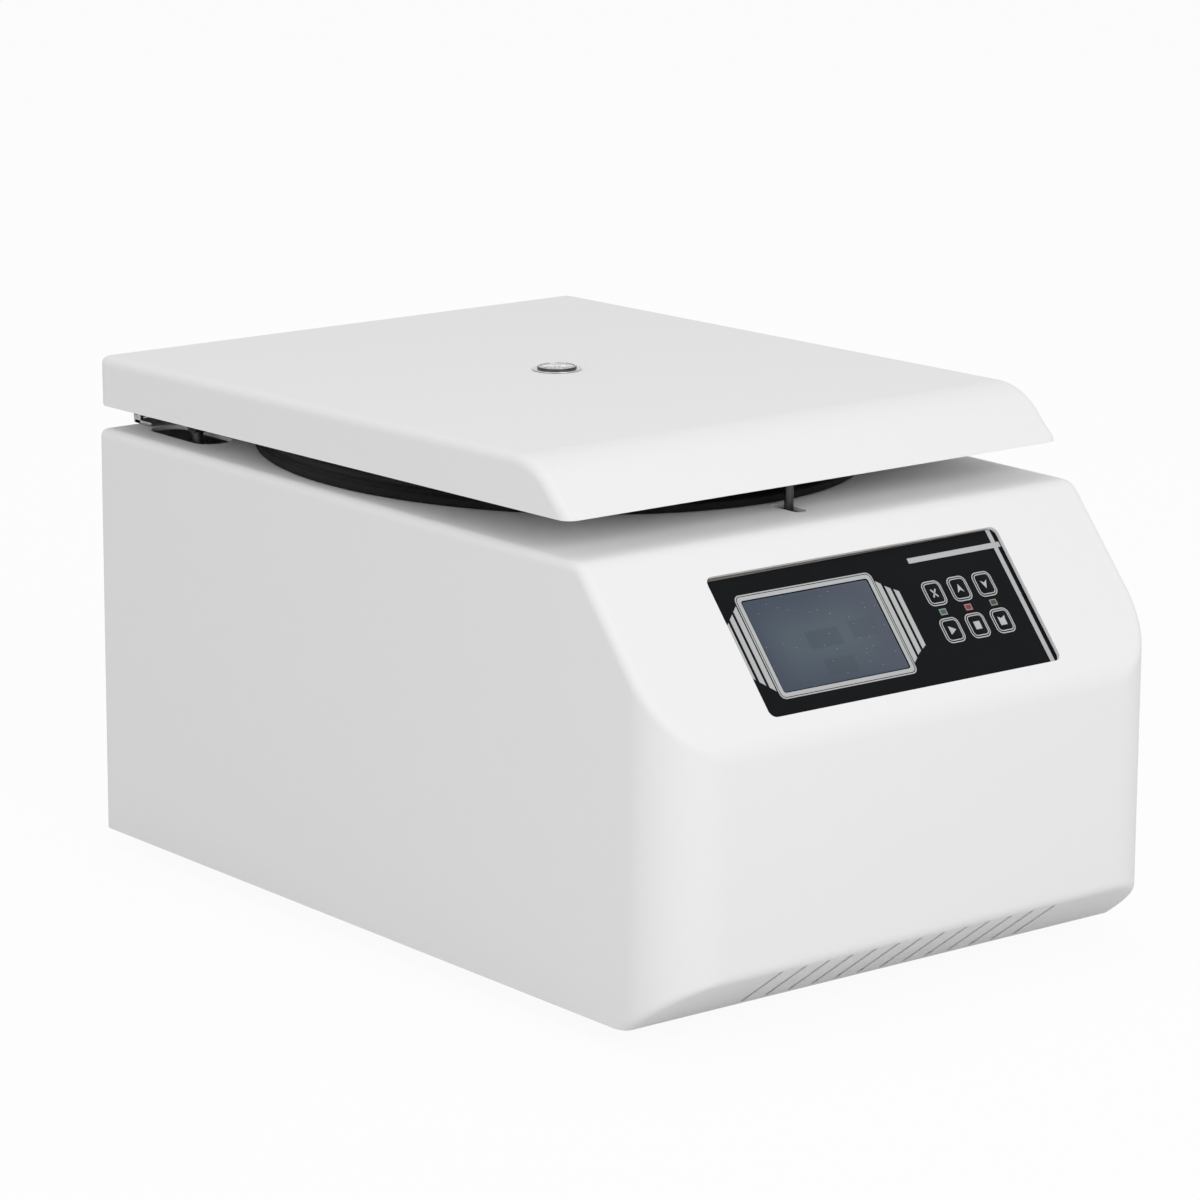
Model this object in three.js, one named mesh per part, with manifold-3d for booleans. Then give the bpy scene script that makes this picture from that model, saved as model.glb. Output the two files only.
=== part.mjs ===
import * as THREE from "three";
import { mergeVertices } from "three/addons/utils/BufferGeometryUtils.js";
import Module from "manifold-3d";

const wasm = await Module();
wasm.setup();

// Bench centrifuge with a hinged lid, in millimetres.
// X runs to the right as seen from the front, Y to the rear and Z up.
// The origin lies on the bench, under the middle of the machine.

// Clearances and cutters
const gap = 0.3;
const bearingGap = 0.4;
const overrun = 4;
const weldTolerance = 1e-4;
// Corner radius of a round-ended slot, as a share of its width
const slotEndShare = 0.4;

// Counts of flat facets on round work
const ringSides = 48;
const drumSides = 32;
const pegSides = 16;
const postSides = 8;
const cornerSteps = 2;
const bendSteps = 1;
const archSteps = 4;

// Case: a folded shell with a sloping front, an undercut front edge and round front corners
const shell = {
  width: 400, wall: 2.5,
  frontCorner: 42, rearCorner: 5, topEdge: 6,
  slopeDepth: 88, slopeHeight: 102, slopeTopBend: 15, slopeFootBend: 22,
  chamferDepth: 44, chamferHeight: 33, chamferBend: 7.5,
};
const louvre = { count: 13, pitch: 18.5, width: 3, length: 43, fromBend: 2.7 };
const base = { thickness: 2 };
const foot = {
  height: 12, topRadius: 16, floorRadius: 14, chamfer: 1.5, stem: 5,
  sideInset: 60, frontInset: 120, rearInset: 45,
};
const rear = { thickness: 2, flange: 10 };

// Chamber around the spin axis, with room left beside, ahead of and behind its wall
const chamber = {
  beside: 28, ahead: 103, behind: 65, aboveMotor: 17.5,
  sheet: 1.5, depth: 163, cornerRadius: 20, rimWidth: 12, shaftHole: 30,
};
chamber.outer = shell.width / 2 - chamber.beside;
chamber.rim = chamber.outer + chamber.rimWidth;
chamber.axisY = shell.slopeDepth + chamber.ahead + chamber.outer;
shell.depth = chamber.axisY + chamber.outer + chamber.behind;
const gasket = { outerBeyond: 18, innerBeyond: 1, mouthBeyond: 4, rounding: 2 };
gasket.outer = chamber.outer + gasket.outerBeyond;
gasket.inner = chamber.outer + gasket.innerBeyond;
gasket.mouth = chamber.outer + gasket.mouthBeyond;
const guard = { thickness: 4, height: 138, rimInset: 3.2 };
const boot = { wall: 6, flange: 39, flangeThickness: 3, collar: 24 };

// Drive
const motor = {
  radius: 60, flange: 72, flangeThickness: 6, bottom: 12, top: 92, flangeBottom: 62.3, nose: 20, edge: 2,
};
shell.height = motor.top + chamber.aboveMotor + chamber.sheet + chamber.depth;
const motorPlate = { radius: 100, thickness: 5 };
const damper = { count: 3, radius: 13, waist: 10, bead: 6, pitchRadius: 84 };
const shaft = { radius: 9, bottom: 30, collarRadius: 13, collarThickness: 5, thread: 9, threadRadius: 7 };

// Swing-out rotor
const rotor = {
  hubRadius: 30, hubHeight: 38, aboveMotor: 94, armThickness: 16, reach: 108,
  pivotRadius: 88, slotHalf: 31, slotFloor: 54,
};
rotor.hubBottom = motor.top + rotor.aboveMotor;
const trunnion = { radius: 4, engagement: 4.5 };
const bucket = {
  count: 4, outer: 26, wall: 2.5, above: 16, below: 70, rim: 28, rimHeight: 4,
  floor: 3, bottomRadius: 5, boss: 8,
};
const rotorNut = { radius: 15, flats: 6, height: 14, domeHeight: 4, domeRadius: 9 };

// Lid, described closed
const lid = {
  sideInset: 2, frontSetback: 12.5, height: 33, wall: 1.5, rearOverhang: 2.5, gapAboveCase: 15, ajarDegrees: 0.9,
  frontSlope: 32, frontBend: 48, rearEdge: 6, topEdge: 7, corner: 9, lip: 1.5,
};
lid.width = shell.width - 2 * lid.sideInset;
lid.depth = shell.depth + lid.rearOverhang - shell.slopeDepth - lid.frontSetback;
const lidPanel = { thickness: 1.5 };
const sight = { flange: 16, flangeHeight: 3, sleeve: 13.5, bore: 11.5, lensThickness: 3.5, lensDrop: 0.7 };

// Hinges: a case bracket, a lid leaf and a pin on each side
const hinge = {
  fromRear: 3, aboveCase: 9, fromSide: 28, width: 40, ear: 2.5, knuckle: 5.5, pin: 3, plateDepth: 19.5,
  rearMargin: 0.6,
};
hinge.outer = shell.width / 2 - hinge.fromSide;
hinge.inner = hinge.outer - hinge.width;
const leaf = { thickness: 2.5, fromStrut: 4.5, length: 69, earThickness: 3 };

// Gas struts, from the case floor to the lid leaves
const strut = {
  fromSide: 35, topFromRear: 64, topAboveCase: 7, footFromRear: 100, footZ: 94,
  eye: 6, eyeWidth: 8, pin: 3, neck: 4, neckLength: 16, bodyRadius: 8.5, bodyLength: 118, bodyBore: 5,
  capThickness: 6, rod: 4, rodStart: 24, stub: 3.5, stubLength: 8,
};
strut.x = shell.width / 2 - strut.fromSide;
strut.topY = shell.depth - strut.topFromRear;
strut.footY = shell.depth - strut.footFromRear;
leaf.outer = strut.x - leaf.fromStrut;
const strutHole = { halfWidth: 14, aheadOfTop: 29, behindTop: 41 };
const anchor = { thickness: 4, halfDepth: 16, above: 16, window: 10.4, standOff: 1.5, footLength: 14 };

// Latch
const striker = {
  fromLidFront: 32.5, rod: 3, blockBottom: 31, halfWidth: 4, halfDepth: 7, windowHalf: 4,
  foot: 3.5, windowHeight: 11.5, plate: 9, plateThickness: 2,
};
striker.y = shell.slopeDepth + lid.frontSetback + striker.fromLidFront;
const strikerSlot = { halfWidth: 5, halfLength: 14 };
const lock = { near: 10, length: 54, halfDepth: 15, height: 32 };
const bolt = { width: 6, height: 3, length: 39, fromAxis: 6, lift: 0.35 };

// Control panel on the slope: places are measured from the top bend, down the slope
const panel = { centreX: 0.6, width: 234.4, from: 22.2, length: 96, corner: 5, border: 3, thickness: 2 };
const display = {
  centreX: -46.45, width: 99.8, from: 40.3, length: 62.6, corner: 2, rim: 5, depth: 9, recess: 0.2,
};
const keypad = {
  columns: 3, firstX: 48.4, pitchX: 20.8, firstFrom: 58, pitchFrom: 26.1,
  keyWidth: 13.4, keyLength: 15.2, corner: 3.4, keyDepth: 3.2, proud: 0.2, travel: 0.5,
};
const lamp = { width: 6.4, length: 5.2, from: 71.1, thickness: 2.1 };
const board = { depth: 16, thickness: 1.6, post: 3, margin: 4, postInset: 4.5 };

// Electrics and cooling at the back and on the floor
const powerBoard = {
  fromSide: 25, width: 110, front: 100, rear: 190, standoff: 6, thickness: 1.6, postRadius: 3, postInset: 7,
  coilInset: 15, coilWidth: 40, coilFront: 112, coilRear: 150, coilHeight: 32,
  finInset: 10, finsWidth: 30, finFront: 115, finRear: 175, finHeight: 26, finThickness: 3, finPitch: 9,
};
powerBoard.left = powerBoard.fromSide - shell.width / 2;
powerBoard.right = powerBoard.left + powerBoard.width;
powerBoard.coilLeft = powerBoard.left + powerBoard.coilInset;
powerBoard.coilRight = powerBoard.coilLeft + powerBoard.coilWidth;
powerBoard.finRight = powerBoard.right - powerBoard.finInset;
powerBoard.finLeft = powerBoard.finRight - powerBoard.finsWidth;
const fan = {
  x: -95, z: 90, size: 92, depth: 25, duct: 43, corner: 6, hub: 17, hubDepth: 4, seatWall: 0.8,
  sparWidth: 5, spars: 4,
  impellerHub: 18, blades: 7, bladeReach: 41, bladeThickness: 2, bladeDepth: 14, bladePitchDegrees: 38,
  axle: 3,
};
const grille = { slots: 9, pitch: 8.6, width: 4.6, radius: 42 };
const inlet = {
  x: 95, z: 60, flangeWidth: 50, flangeHeight: 27, flange: 2.5,
  bodyWidth: 28, bodyHeight: 20.5, bodyDepth: 20,
  socketWidth: 24, socketHeight: 16.5, socketDepth: 17, corner: 3,
  pinWidth: 2, pinHeight: 4, pinLength: 10.5, pinSpread: 7, pinDrop: 2,
};
const rocker = {
  x: 95, z: 110, frameWidth: 25, frameHeight: 31, flange: 2, bodyWidth: 21, bodyHeight: 27, bodyDepth: 15,
  windowHalfWidth: 8.5, windowHalfHeight: 11.5, windowDepth: 14,
  axisInset: 2, halfWidth: 8.1, halfHeight: 10,
  crown: 5, shoulder: 3.2, back: 4, backHalfHeight: 8, pin: 1.5, pinLength: 1.2, tiltDegrees: 8,
};

// Finishes
const finish = (color, roughness, metalness) =>
  new THREE.MeshStandardMaterial({ color, roughness, metalness, flatShading: true });
const whitePaint = finish(0xeeeeec, 0.45, 0.0);
const steelSheet = finish(0xb9bcbf, 0.35, 0.9);
const stainless = finish(0xc9ccce, 0.25, 1.0);
const zinc = finish(0x9a9da0, 0.4, 0.9);
const blackRubber = finish(0x17181a, 0.85, 0.0);
const blackPlastic = finish(0x1c1f24, 0.4, 0.0);
const overlayFilm = finish(0x1b1f25, 0.3, 0.0);
const displayGlass = finish(0x58646f, 0.15, 0.0);
const clearLens = finish(0xdfe6ea, 0.1, 0.0);
const castAluminium = finish(0xa9adb1, 0.45, 0.8);
const motorPaint = finish(0x3a3d42, 0.5, 0.4);
const circuitGreen = finish(0x1e5a3a, 0.5, 0.0);
const lampColours = [finish(0x4f7f63, 0.35, 0.0), finish(0xa83c44, 0.35, 0.0), finish(0x6f6c50, 0.35, 0.0)];

// A closed geometry gets one vertex per corner, no empty facets and facets that face outwards.
function weld(geometry) {
  const bare = new THREE.BufferGeometry();
  bare.setAttribute("position", geometry.getAttribute("position"));
  if (geometry.index) bare.setIndex(geometry.index);
  const merged = mergeVertices(bare, weldTolerance);
  const corners = merged.index.array;
  const facets = [];
  for (let i = 0; i < corners.length; i += 3) {
    const [a, b, c] = [corners[i], corners[i + 1], corners[i + 2]];
    if (a !== b && b !== c && c !== a) facets.push([a, b, c]);
  }
  const point = (i) => new THREE.Vector3().fromBufferAttribute(merged.getAttribute("position"), i);
  const volume = facets.reduce((sum, [a, b, c]) => sum + point(a).dot(point(b).cross(point(c))), 0);
  const turned = volume < 0 ? facets.map(([a, b, c]) => [a, c, b]) : facets;
  merged.setIndex(turned.flat());
  return merged;
}

// A welded geometry, once placed, becomes a solid that can be joined and cut.
function toSolid(geometry, placement) {
  const welded = weld(geometry);
  if (placement) welded.applyMatrix4(placement);
  return new wasm.Manifold(new wasm.Mesh({
    numProp: 3,
    vertProperties: new Float32Array(welded.getAttribute("position").array),
    triVerts: new Uint32Array(welded.index.array),
  }));
}

const join = (...solids) => solids.reduce((sum, solid) => sum.add(solid));
const cut = (solid, ...tools) => tools.reduce((rest, tool) => rest.subtract(tool), solid);
const common = (...solids) => solids.reduce((sum, solid) => sum.intersect(solid));

const shifted = (x, y, z) => new THREE.Matrix4().makeTranslation(x, y, z);
const turnedAboutX = (angle) => new THREE.Matrix4().makeRotationX(angle);
const turnedAboutZ = (angle) => new THREE.Matrix4().makeRotationZ(angle);
const profileToX = new THREE.Matrix4().set(0, 0, 1, 0, 1, 0, 0, 0, 0, 1, 0, 0, 0, 0, 0, 1);

// Outlines carried along an axis: (y, z) along X, (x, z) along Y and (x, y) along Z
function extruded(outline, length, steps) {
  return new THREE.ExtrudeGeometry(outline, { depth: length, bevelEnabled: false, curveSegments: steps });
}
function prismX(outline, from, to, steps = cornerSteps) {
  return toSolid(extruded(outline, to - from, steps), shifted(from, 0, 0).multiply(profileToX));
}
function prismY(outline, from, to, steps = cornerSteps) {
  const placement = shifted(0, to, 0).multiply(turnedAboutX(Math.PI / 2));
  return toSolid(extruded(outline, to - from, steps), placement);
}
function prismZ(outline, from, to, steps = cornerSteps) {
  return toSolid(extruded(outline, to - from, steps), shifted(0, 0, from));
}

function block(x0, x1, y0, y1, z0, z1) {
  const box = new THREE.BoxGeometry(x1 - x0, y1 - y0, z1 - z0);
  return toSolid(box, shifted((x0 + x1) / 2, (y0 + y1) / 2, (z0 + z1) / 2));
}

// Round bars along each axis, from one end to the other through the point (a, b) of the other two axes
function barX(radius, from, to, y, z, sides = pegSides) {
  const bar = new THREE.CylinderGeometry(radius, radius, to - from, sides).rotateZ(-Math.PI / 2);
  return toSolid(bar, shifted((from + to) / 2, y, z));
}
function barY(radius, from, to, x, z, sides = pegSides) {
  const bar = new THREE.CylinderGeometry(radius, radius, to - from, sides);
  return toSolid(bar, shifted(x, (from + to) / 2, z));
}
function barZ(radius, from, to, x, y, sides = pegSides) {
  const bar = new THREE.CylinderGeometry(radius, radius, to - from, sides).rotateX(Math.PI / 2);
  return toSolid(bar, shifted(x, y, (from + to) / 2));
}

// A profile of [radius, height] points turned about an upright axis. A ring's profile closes on itself.
function turning(profile, x, y, sides = drumSides) {
  const points = profile.map(([radius, height]) => new THREE.Vector2(radius, height));
  const lathe = new THREE.LatheGeometry(points, sides).rotateX(Math.PI / 2);
  return toSolid(lathe, shifted(x, y, 0));
}
const ringProfile = (profile) => [...profile, profile[0]];

// An outline through corners [a, b, radius], each rounded by an arc of its own radius
function roundedOutline(corners) {
  const shape = new THREE.Shape();
  corners.forEach(([x, y, radius], i) => {
    const [px, py] = corners[(i + corners.length - 1) % corners.length];
    const [nx, ny] = corners[(i + 1) % corners.length];
    const back = new THREE.Vector2(px - x, py - y).normalize();
    const ahead = new THREE.Vector2(nx - x, ny - y).normalize();
    if (!(radius > 0)) {
      if (i === 0) shape.moveTo(x, y);
      else shape.lineTo(x, y);
      return;
    }
    const half = Math.acos(THREE.MathUtils.clamp(back.dot(ahead), -1, 1)) / 2;
    const reach = radius / Math.tan(half);
    const inward = back.clone().add(ahead).normalize().multiplyScalar(radius / Math.sin(half));
    const [cx, cy] = [x + inward.x, y + inward.y];
    const start = Math.atan2(y + back.y * reach - cy, x + back.x * reach - cx);
    const end = Math.atan2(y + ahead.y * reach - cy, x + ahead.x * reach - cx);
    const startPoint = [x + back.x * reach, y + back.y * reach];
    if (i === 0) shape.moveTo(...startPoint);
    else shape.lineTo(...startPoint);
    shape.absarc(cx, cy, radius, start, end, ahead.cross(back) < 0);
  });
  shape.closePath();
  return shape;
}

// The same corners after each side has moved inwards. Side i runs from corner i to the next one.
function insetCorners(corners, insets) {
  const sides = corners.map(([x, y], i) => {
    const [nx, ny] = corners[(i + 1) % corners.length];
    const along = new THREE.Vector2(nx - x, ny - y).normalize();
    return { along, x: x - along.y * insets[i], y: y + along.x * insets[i] };
  });
  return corners.map(([, , radius], i) => {
    const before = sides[(i + sides.length - 1) % sides.length];
    const after = sides[i];
    const turn = before.along.cross(after.along);
    const run = ((after.x - before.x) * after.along.y - (after.y - before.y) * after.along.x) / turn;
    const shrink = Math.max(insets[i], insets[(i + sides.length - 1) % sides.length]);
    return [before.x + before.along.x * run, before.y + before.along.y * run, Math.max(radius - shrink, 0)];
  });
}

function rectangle(x0, x1, y0, y1, radius = 0) {
  return roundedOutline([[x0, y0, radius], [x1, y0, radius], [x1, y1, radius], [x0, y1, radius]]);
}

// An upright or hanging ear with a round end about the point (y, z), and its far edge cut off at the reach
function lugOutline(y, z, radius, foot, reach = radius) {
  const standing = foot < z;
  const end = Math.acos(reach / radius) * (standing ? -1 : 1);
  const shape = new THREE.Shape();
  shape.moveTo(y - radius, foot);
  shape.lineTo(y - radius, z);
  shape.absarc(y, z, radius, Math.PI, end, standing);
  shape.lineTo(y + reach, foot);
  shape.closePath();
  return shape;
}

// A finished solid becomes a named mesh on the group that carries it.
function piece(name, solid, material, carrier) {
  const { vertProperties, triVerts } = solid.getMesh();
  const geometry = new THREE.BufferGeometry();
  geometry.setAttribute("position", new THREE.BufferAttribute(vertProperties, 3));
  geometry.setIndex(new THREE.BufferAttribute(triVerts, 1));
  geometry.computeVertexNormals();
  const mesh = new THREE.Mesh(geometry, material);
  mesh.name = name;
  carrier.add(mesh);
}

const sides = [["left", -1], ["right", 1]];
const span = (sign, near, far) => (sign > 0 ? [near, far] : [-far, -near]);

// Case form: side profile, plan and front outline meet in one body. Inset gives its inside.
function caseForm(inset, bottomInset, rearInset) {
  const side = [
    [shell.chamferDepth, 0, 0], [shell.depth, 0, 0], [shell.depth, shell.height, shell.topEdge],
    [shell.slopeDepth, shell.height, shell.slopeTopBend],
    [0, shell.height - shell.slopeHeight, shell.slopeFootBend], [0, shell.chamferHeight, shell.chamferBend],
  ];
  const plan = [
    [-shell.width / 2, 0, shell.frontCorner], [shell.width / 2, 0, shell.frontCorner],
    [shell.width / 2, shell.depth, shell.rearCorner], [-shell.width / 2, shell.depth, shell.rearCorner],
  ];
  const front = [
    [-shell.width / 2, 0, 0], [shell.width / 2, 0, 0],
    [shell.width / 2, shell.height, shell.topEdge], [-shell.width / 2, shell.height, shell.topEdge],
  ];
  const sideInsets = [bottomInset, rearInset, inset, inset, inset, inset];
  const sideOutline = roundedOutline(insetCorners(side, sideInsets));
  const planOutline = roundedOutline(insetCorners(plan, [inset, inset, rearInset, inset]));
  const frontOutline = roundedOutline(insetCorners(front, [bottomInset, inset, inset, inset]));
  return common(
    prismX(sideOutline, -shell.width, shell.width),
    prismZ(planOutline, -shell.height, 2 * shell.height, archSteps),
    prismY(frontOutline, -shell.depth, 2 * shell.depth),
  );
}

// The slope's own frame: X across, Y up the slope and Z out of it, from the top bend
const slopeAngle = Math.atan2(shell.slopeHeight, shell.slopeDepth);
const slopeFrame = shifted(0, shell.slopeDepth, shell.height).multiply(turnedAboutX(slopeAngle));
function onSlope(outline, from, to, steps = cornerSteps) {
  return toSolid(extruded(outline, to - from, steps), slopeFrame.clone().multiply(shifted(0, 0, from)));
}
function slopeRectangle(centreX, width, from, length, grow, radius) {
  const half = width / 2 + grow;
  return rectangle(centreX - half, centreX + half, -from - length - grow, -from + grow, radius);
}

// Slots down the undercut edge, rounded at both ends
function louvreSlots() {
  const chamferAngle = Math.atan2(shell.chamferHeight, shell.chamferDepth);
  const frame = shifted(0, 0, shell.chamferHeight).multiply(turnedAboutX(-chamferAngle));
  const slots = [];
  for (let i = 0; i < louvre.count; i += 1) {
    const x = (i - (louvre.count - 1) / 2) * louvre.pitch;
    const slot = rectangle(
      x - louvre.width / 2, x + louvre.width / 2, louvre.fromBend, louvre.fromBend + louvre.length,
      louvre.width * slotEndShare,
    );
    const depth = shell.wall + overrun;
    const placement = frame.clone().multiply(shifted(0, 0, -depth));
    slots.push(toSolid(extruded(slot, 2 * depth, bendSteps), placement));
  }
  return slots;
}

const strutHoleOutline = (sign) => {
  const [x0, x1] = span(sign, strut.x - strutHole.halfWidth, strut.x + strutHole.halfWidth);
  return rectangle(x0, x1, strut.topY - strutHole.aheadOfTop, strut.topY + strutHole.behindTop, 2 * strutHole.halfWidth * slotEndShare);
};

function housing() {
  const top = shell.height + overrun;
  const underTop = shell.height - shell.wall - overrun;
  const rearHalf = shell.width / 2 - shell.wall - rear.flange;
  const openings = [
    block(-rearHalf, rearHalf, shell.depth - shell.wall - overrun, shell.depth + overrun,
      -overrun, shell.height - shell.wall - rear.flange),
    barZ(gasket.mouth, underTop, top, 0, chamber.axisY, ringSides),
    ...sides.map(([, sign]) => prismZ(strutHoleOutline(sign), underTop, top)),
    prismZ(rectangle(
      -strikerSlot.halfWidth, strikerSlot.halfWidth,
      striker.y - strikerSlot.halfLength, striker.y + strikerSlot.halfLength,
      2 * strikerSlot.halfWidth * slotEndShare,
    ), underTop, top),
    onSlope(slopeRectangle(panel.centreX, panel.width, panel.from, panel.length, 0, panel.corner),
      -shell.wall - overrun, overrun),
    ...louvreSlots(),
  ];
  return cut(caseForm(0, 0, 0), caseForm(shell.wall, -overrun, shell.wall), ...openings);
}

// Floor pan inside the shell, with a hole for each foot's stem
const footX = shell.width / 2 - foot.sideInset;
const footPlaces = [
  ["front_left", -footX, foot.frontInset],
  ["front_right", footX, foot.frontInset],
  ["rear_left", -footX, shell.depth - foot.rearInset],
  ["rear_right", footX, shell.depth - foot.rearInset],
];
function basePlate() {
  const slab = block(-shell.width, shell.width, -overrun, shell.depth, 0, base.thickness);
  const holes = footPlaces.map(([, x, y]) =>
    barZ(foot.stem + gap, -overrun, base.thickness + overrun, x, y));
  return cut(common(slab, caseForm(shell.wall + gap, -overrun, shell.wall + gap)), ...holes);
}
function footSolid(x, y) {
  return turning([
    [0, -foot.height], [foot.floorRadius - foot.chamfer, -foot.height],
    [foot.floorRadius, -foot.height + foot.chamfer], [foot.topRadius, -gap], [foot.stem, -gap],
    [foot.stem, base.thickness], [0, base.thickness],
  ], x, y, pegSides);
}

// Back wall with the fan grille and the cut-outs of the mains fittings
const rearOuter = shell.depth - shell.wall - gap;
const rearInner = rearOuter - rear.thickness;
function rearPanel() {
  const half = shell.width / 2 - shell.rearCorner - gap;
  const outline = rectangle(-half, half, base.thickness + gap, shell.height - shell.topEdge - gap);
  const slots = [];
  for (let i = 0; i < grille.slots; i += 1) {
    const across = (i - (grille.slots - 1) / 2) * grille.pitch;
    const reach = Math.sqrt(grille.radius ** 2 - across ** 2);
    slots.push(prismY(rectangle(
      fan.x - reach, fan.x + reach, fan.z + across - grille.width / 2, fan.z + across + grille.width / 2,
      grille.width * slotEndShare,
    ), rearInner - overrun, rearOuter + overrun, bendSteps));
  }
  const cutOut = (fitting) => block(
    fitting.x - fitting.bodyWidth / 2 - gap, fitting.x + fitting.bodyWidth / 2 + gap,
    rearInner - overrun, rearOuter + overrun,
    fitting.z - fitting.bodyHeight / 2 - gap, fitting.z + fitting.bodyHeight / 2 + gap,
  );
  return cut(prismY(outline, rearInner, rearOuter, bendSteps), ...slots, cutOut(inlet), cutOut(rocker));
}

// Chamber levels, counted up from the case's bottom edge
const rimTop = shell.height - shell.wall - gap;
const rimBottom = rimTop - chamber.sheet;
const bowlBottom = shell.height - chamber.depth - chamber.sheet;
const bowlFloor = bowlBottom + chamber.sheet;
const lidBottom = shell.height + lid.gapAboveCase;

function chamberBowl() {
  const inner = chamber.outer - chamber.sheet;
  const corner = (radius, level, reach) => [
    [radius - reach, level], [radius - reach * (1 - Math.SQRT1_2), level + reach * (1 - Math.SQRT1_2)],
    [radius, level + reach],
  ];
  return turning(ringProfile([
    [chamber.shaftHole, bowlBottom], ...corner(chamber.outer, bowlBottom, chamber.cornerRadius),
    [chamber.outer, rimBottom], [chamber.rim, rimBottom], [chamber.rim, rimTop], [inner, rimTop],
    ...corner(inner, bowlFloor, chamber.cornerRadius - chamber.sheet).reverse(),
    [chamber.shaftHole, bowlFloor],
  ]), 0, chamber.axisY, ringSides);
}

// Rubber seal on the case top: a bulb that the lid presses on and a lip down through the mouth
function chamberGasket() {
  const top = lidBottom - gap;
  const seat = shell.height + gap;
  const lipOuter = gasket.mouth - gap;
  return turning(ringProfile([
    [gasket.inner, top - gasket.rounding], [gasket.inner, rimTop + gap], [lipOuter, rimTop + gap],
    [lipOuter, seat],
    [gasket.outer, seat], [gasket.outer, top - gasket.rounding], [gasket.outer - gasket.rounding, top],
    [gasket.inner + gasket.rounding, top],
  ]), 0, chamber.axisY, ringSides);
}

// Armour ring around the bowl, under its rim
function guardRing() {
  const outer = chamber.rim - guard.rimInset;
  const top = rimBottom - gap;
  return turning(ringProfile([
    [outer - guard.thickness, top - guard.height], [outer, top - guard.height], [outer, top],
    [outer - guard.thickness, top],
  ]), 0, chamber.axisY, ringSides);
}

// Rubber boot between the bowl's floor and the motor's nose
function shaftBoot() {
  const outer = chamber.shaftHole - gap;
  return turning(ringProfile([
    [outer - boot.wall, motor.top + gap], [outer, motor.top + gap], [outer, bowlFloor + gap],
    [boot.flange, bowlFloor + gap], [boot.flange, bowlFloor + gap + boot.flangeThickness],
    [boot.collar, bowlFloor + gap + boot.flangeThickness],
  ]), 0, chamber.axisY, drumSides);
}

// Motor with a shoulder that sits on its plate, a blind bore for the shaft and a raised nose
function motorBody() {
  const bore = shaft.radius + bearingGap;
  const flangeTop = motor.flangeBottom + motor.flangeThickness;
  const floor = shaft.bottom - bearingGap;
  return turning([
    [0, motor.bottom], [motor.radius - motor.edge, motor.bottom], [motor.radius, motor.bottom + motor.edge],
    [motor.radius, motor.flangeBottom], [motor.flange, motor.flangeBottom], [motor.flange, flangeTop],
    [motor.radius, flangeTop], [motor.radius, motor.top - motor.flangeThickness], [motor.nose, motor.top],
    [bore, motor.top], [bore, floor], [0, floor],
  ], 0, chamber.axisY);
}
function motorPlateSolid() {
  const top = motor.flangeBottom - gap;
  const bottom = top - motorPlate.thickness;
  const disc = barZ(motorPlate.radius, bottom, top, 0, chamber.axisY, drumSides);
  return cut(disc, barZ(motor.radius + gap, bottom - overrun, top + overrun, 0, chamber.axisY, drumSides));
}
function damperSolid(index) {
  const angle = (index / damper.count) * 2 * Math.PI + Math.PI / 2;
  const bottom = base.thickness + gap;
  const top = motor.flangeBottom - gap - motorPlate.thickness - gap;
  return turning([
    [0, bottom], [damper.radius, bottom], [damper.radius, bottom + damper.bead],
    [damper.waist, (bottom + top) / 2], [damper.radius, top - damper.bead], [damper.radius, top], [0, top],
  ], damper.pitchRadius * Math.cos(angle), chamber.axisY + damper.pitchRadius * Math.sin(angle), pegSides);
}

// Rotating group
const hubTop = rotor.hubBottom + rotor.hubHeight;
const pivotZ = rotor.hubBottom + rotor.hubHeight / 2;
function motorShaft() {
  const seat = rotor.hubBottom - gap;
  return turning([
    [0, shaft.bottom], [shaft.radius, shaft.bottom], [shaft.radius, seat - shaft.collarThickness],
    [shaft.collarRadius, seat - shaft.collarThickness], [shaft.collarRadius, seat], [shaft.radius, seat],
    [shaft.radius, hubTop], [shaft.threadRadius, hubTop], [shaft.threadRadius, hubTop + shaft.thread],
    [0, hubTop + shaft.thread],
  ], 0, chamber.axisY, pegSides);
}

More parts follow.
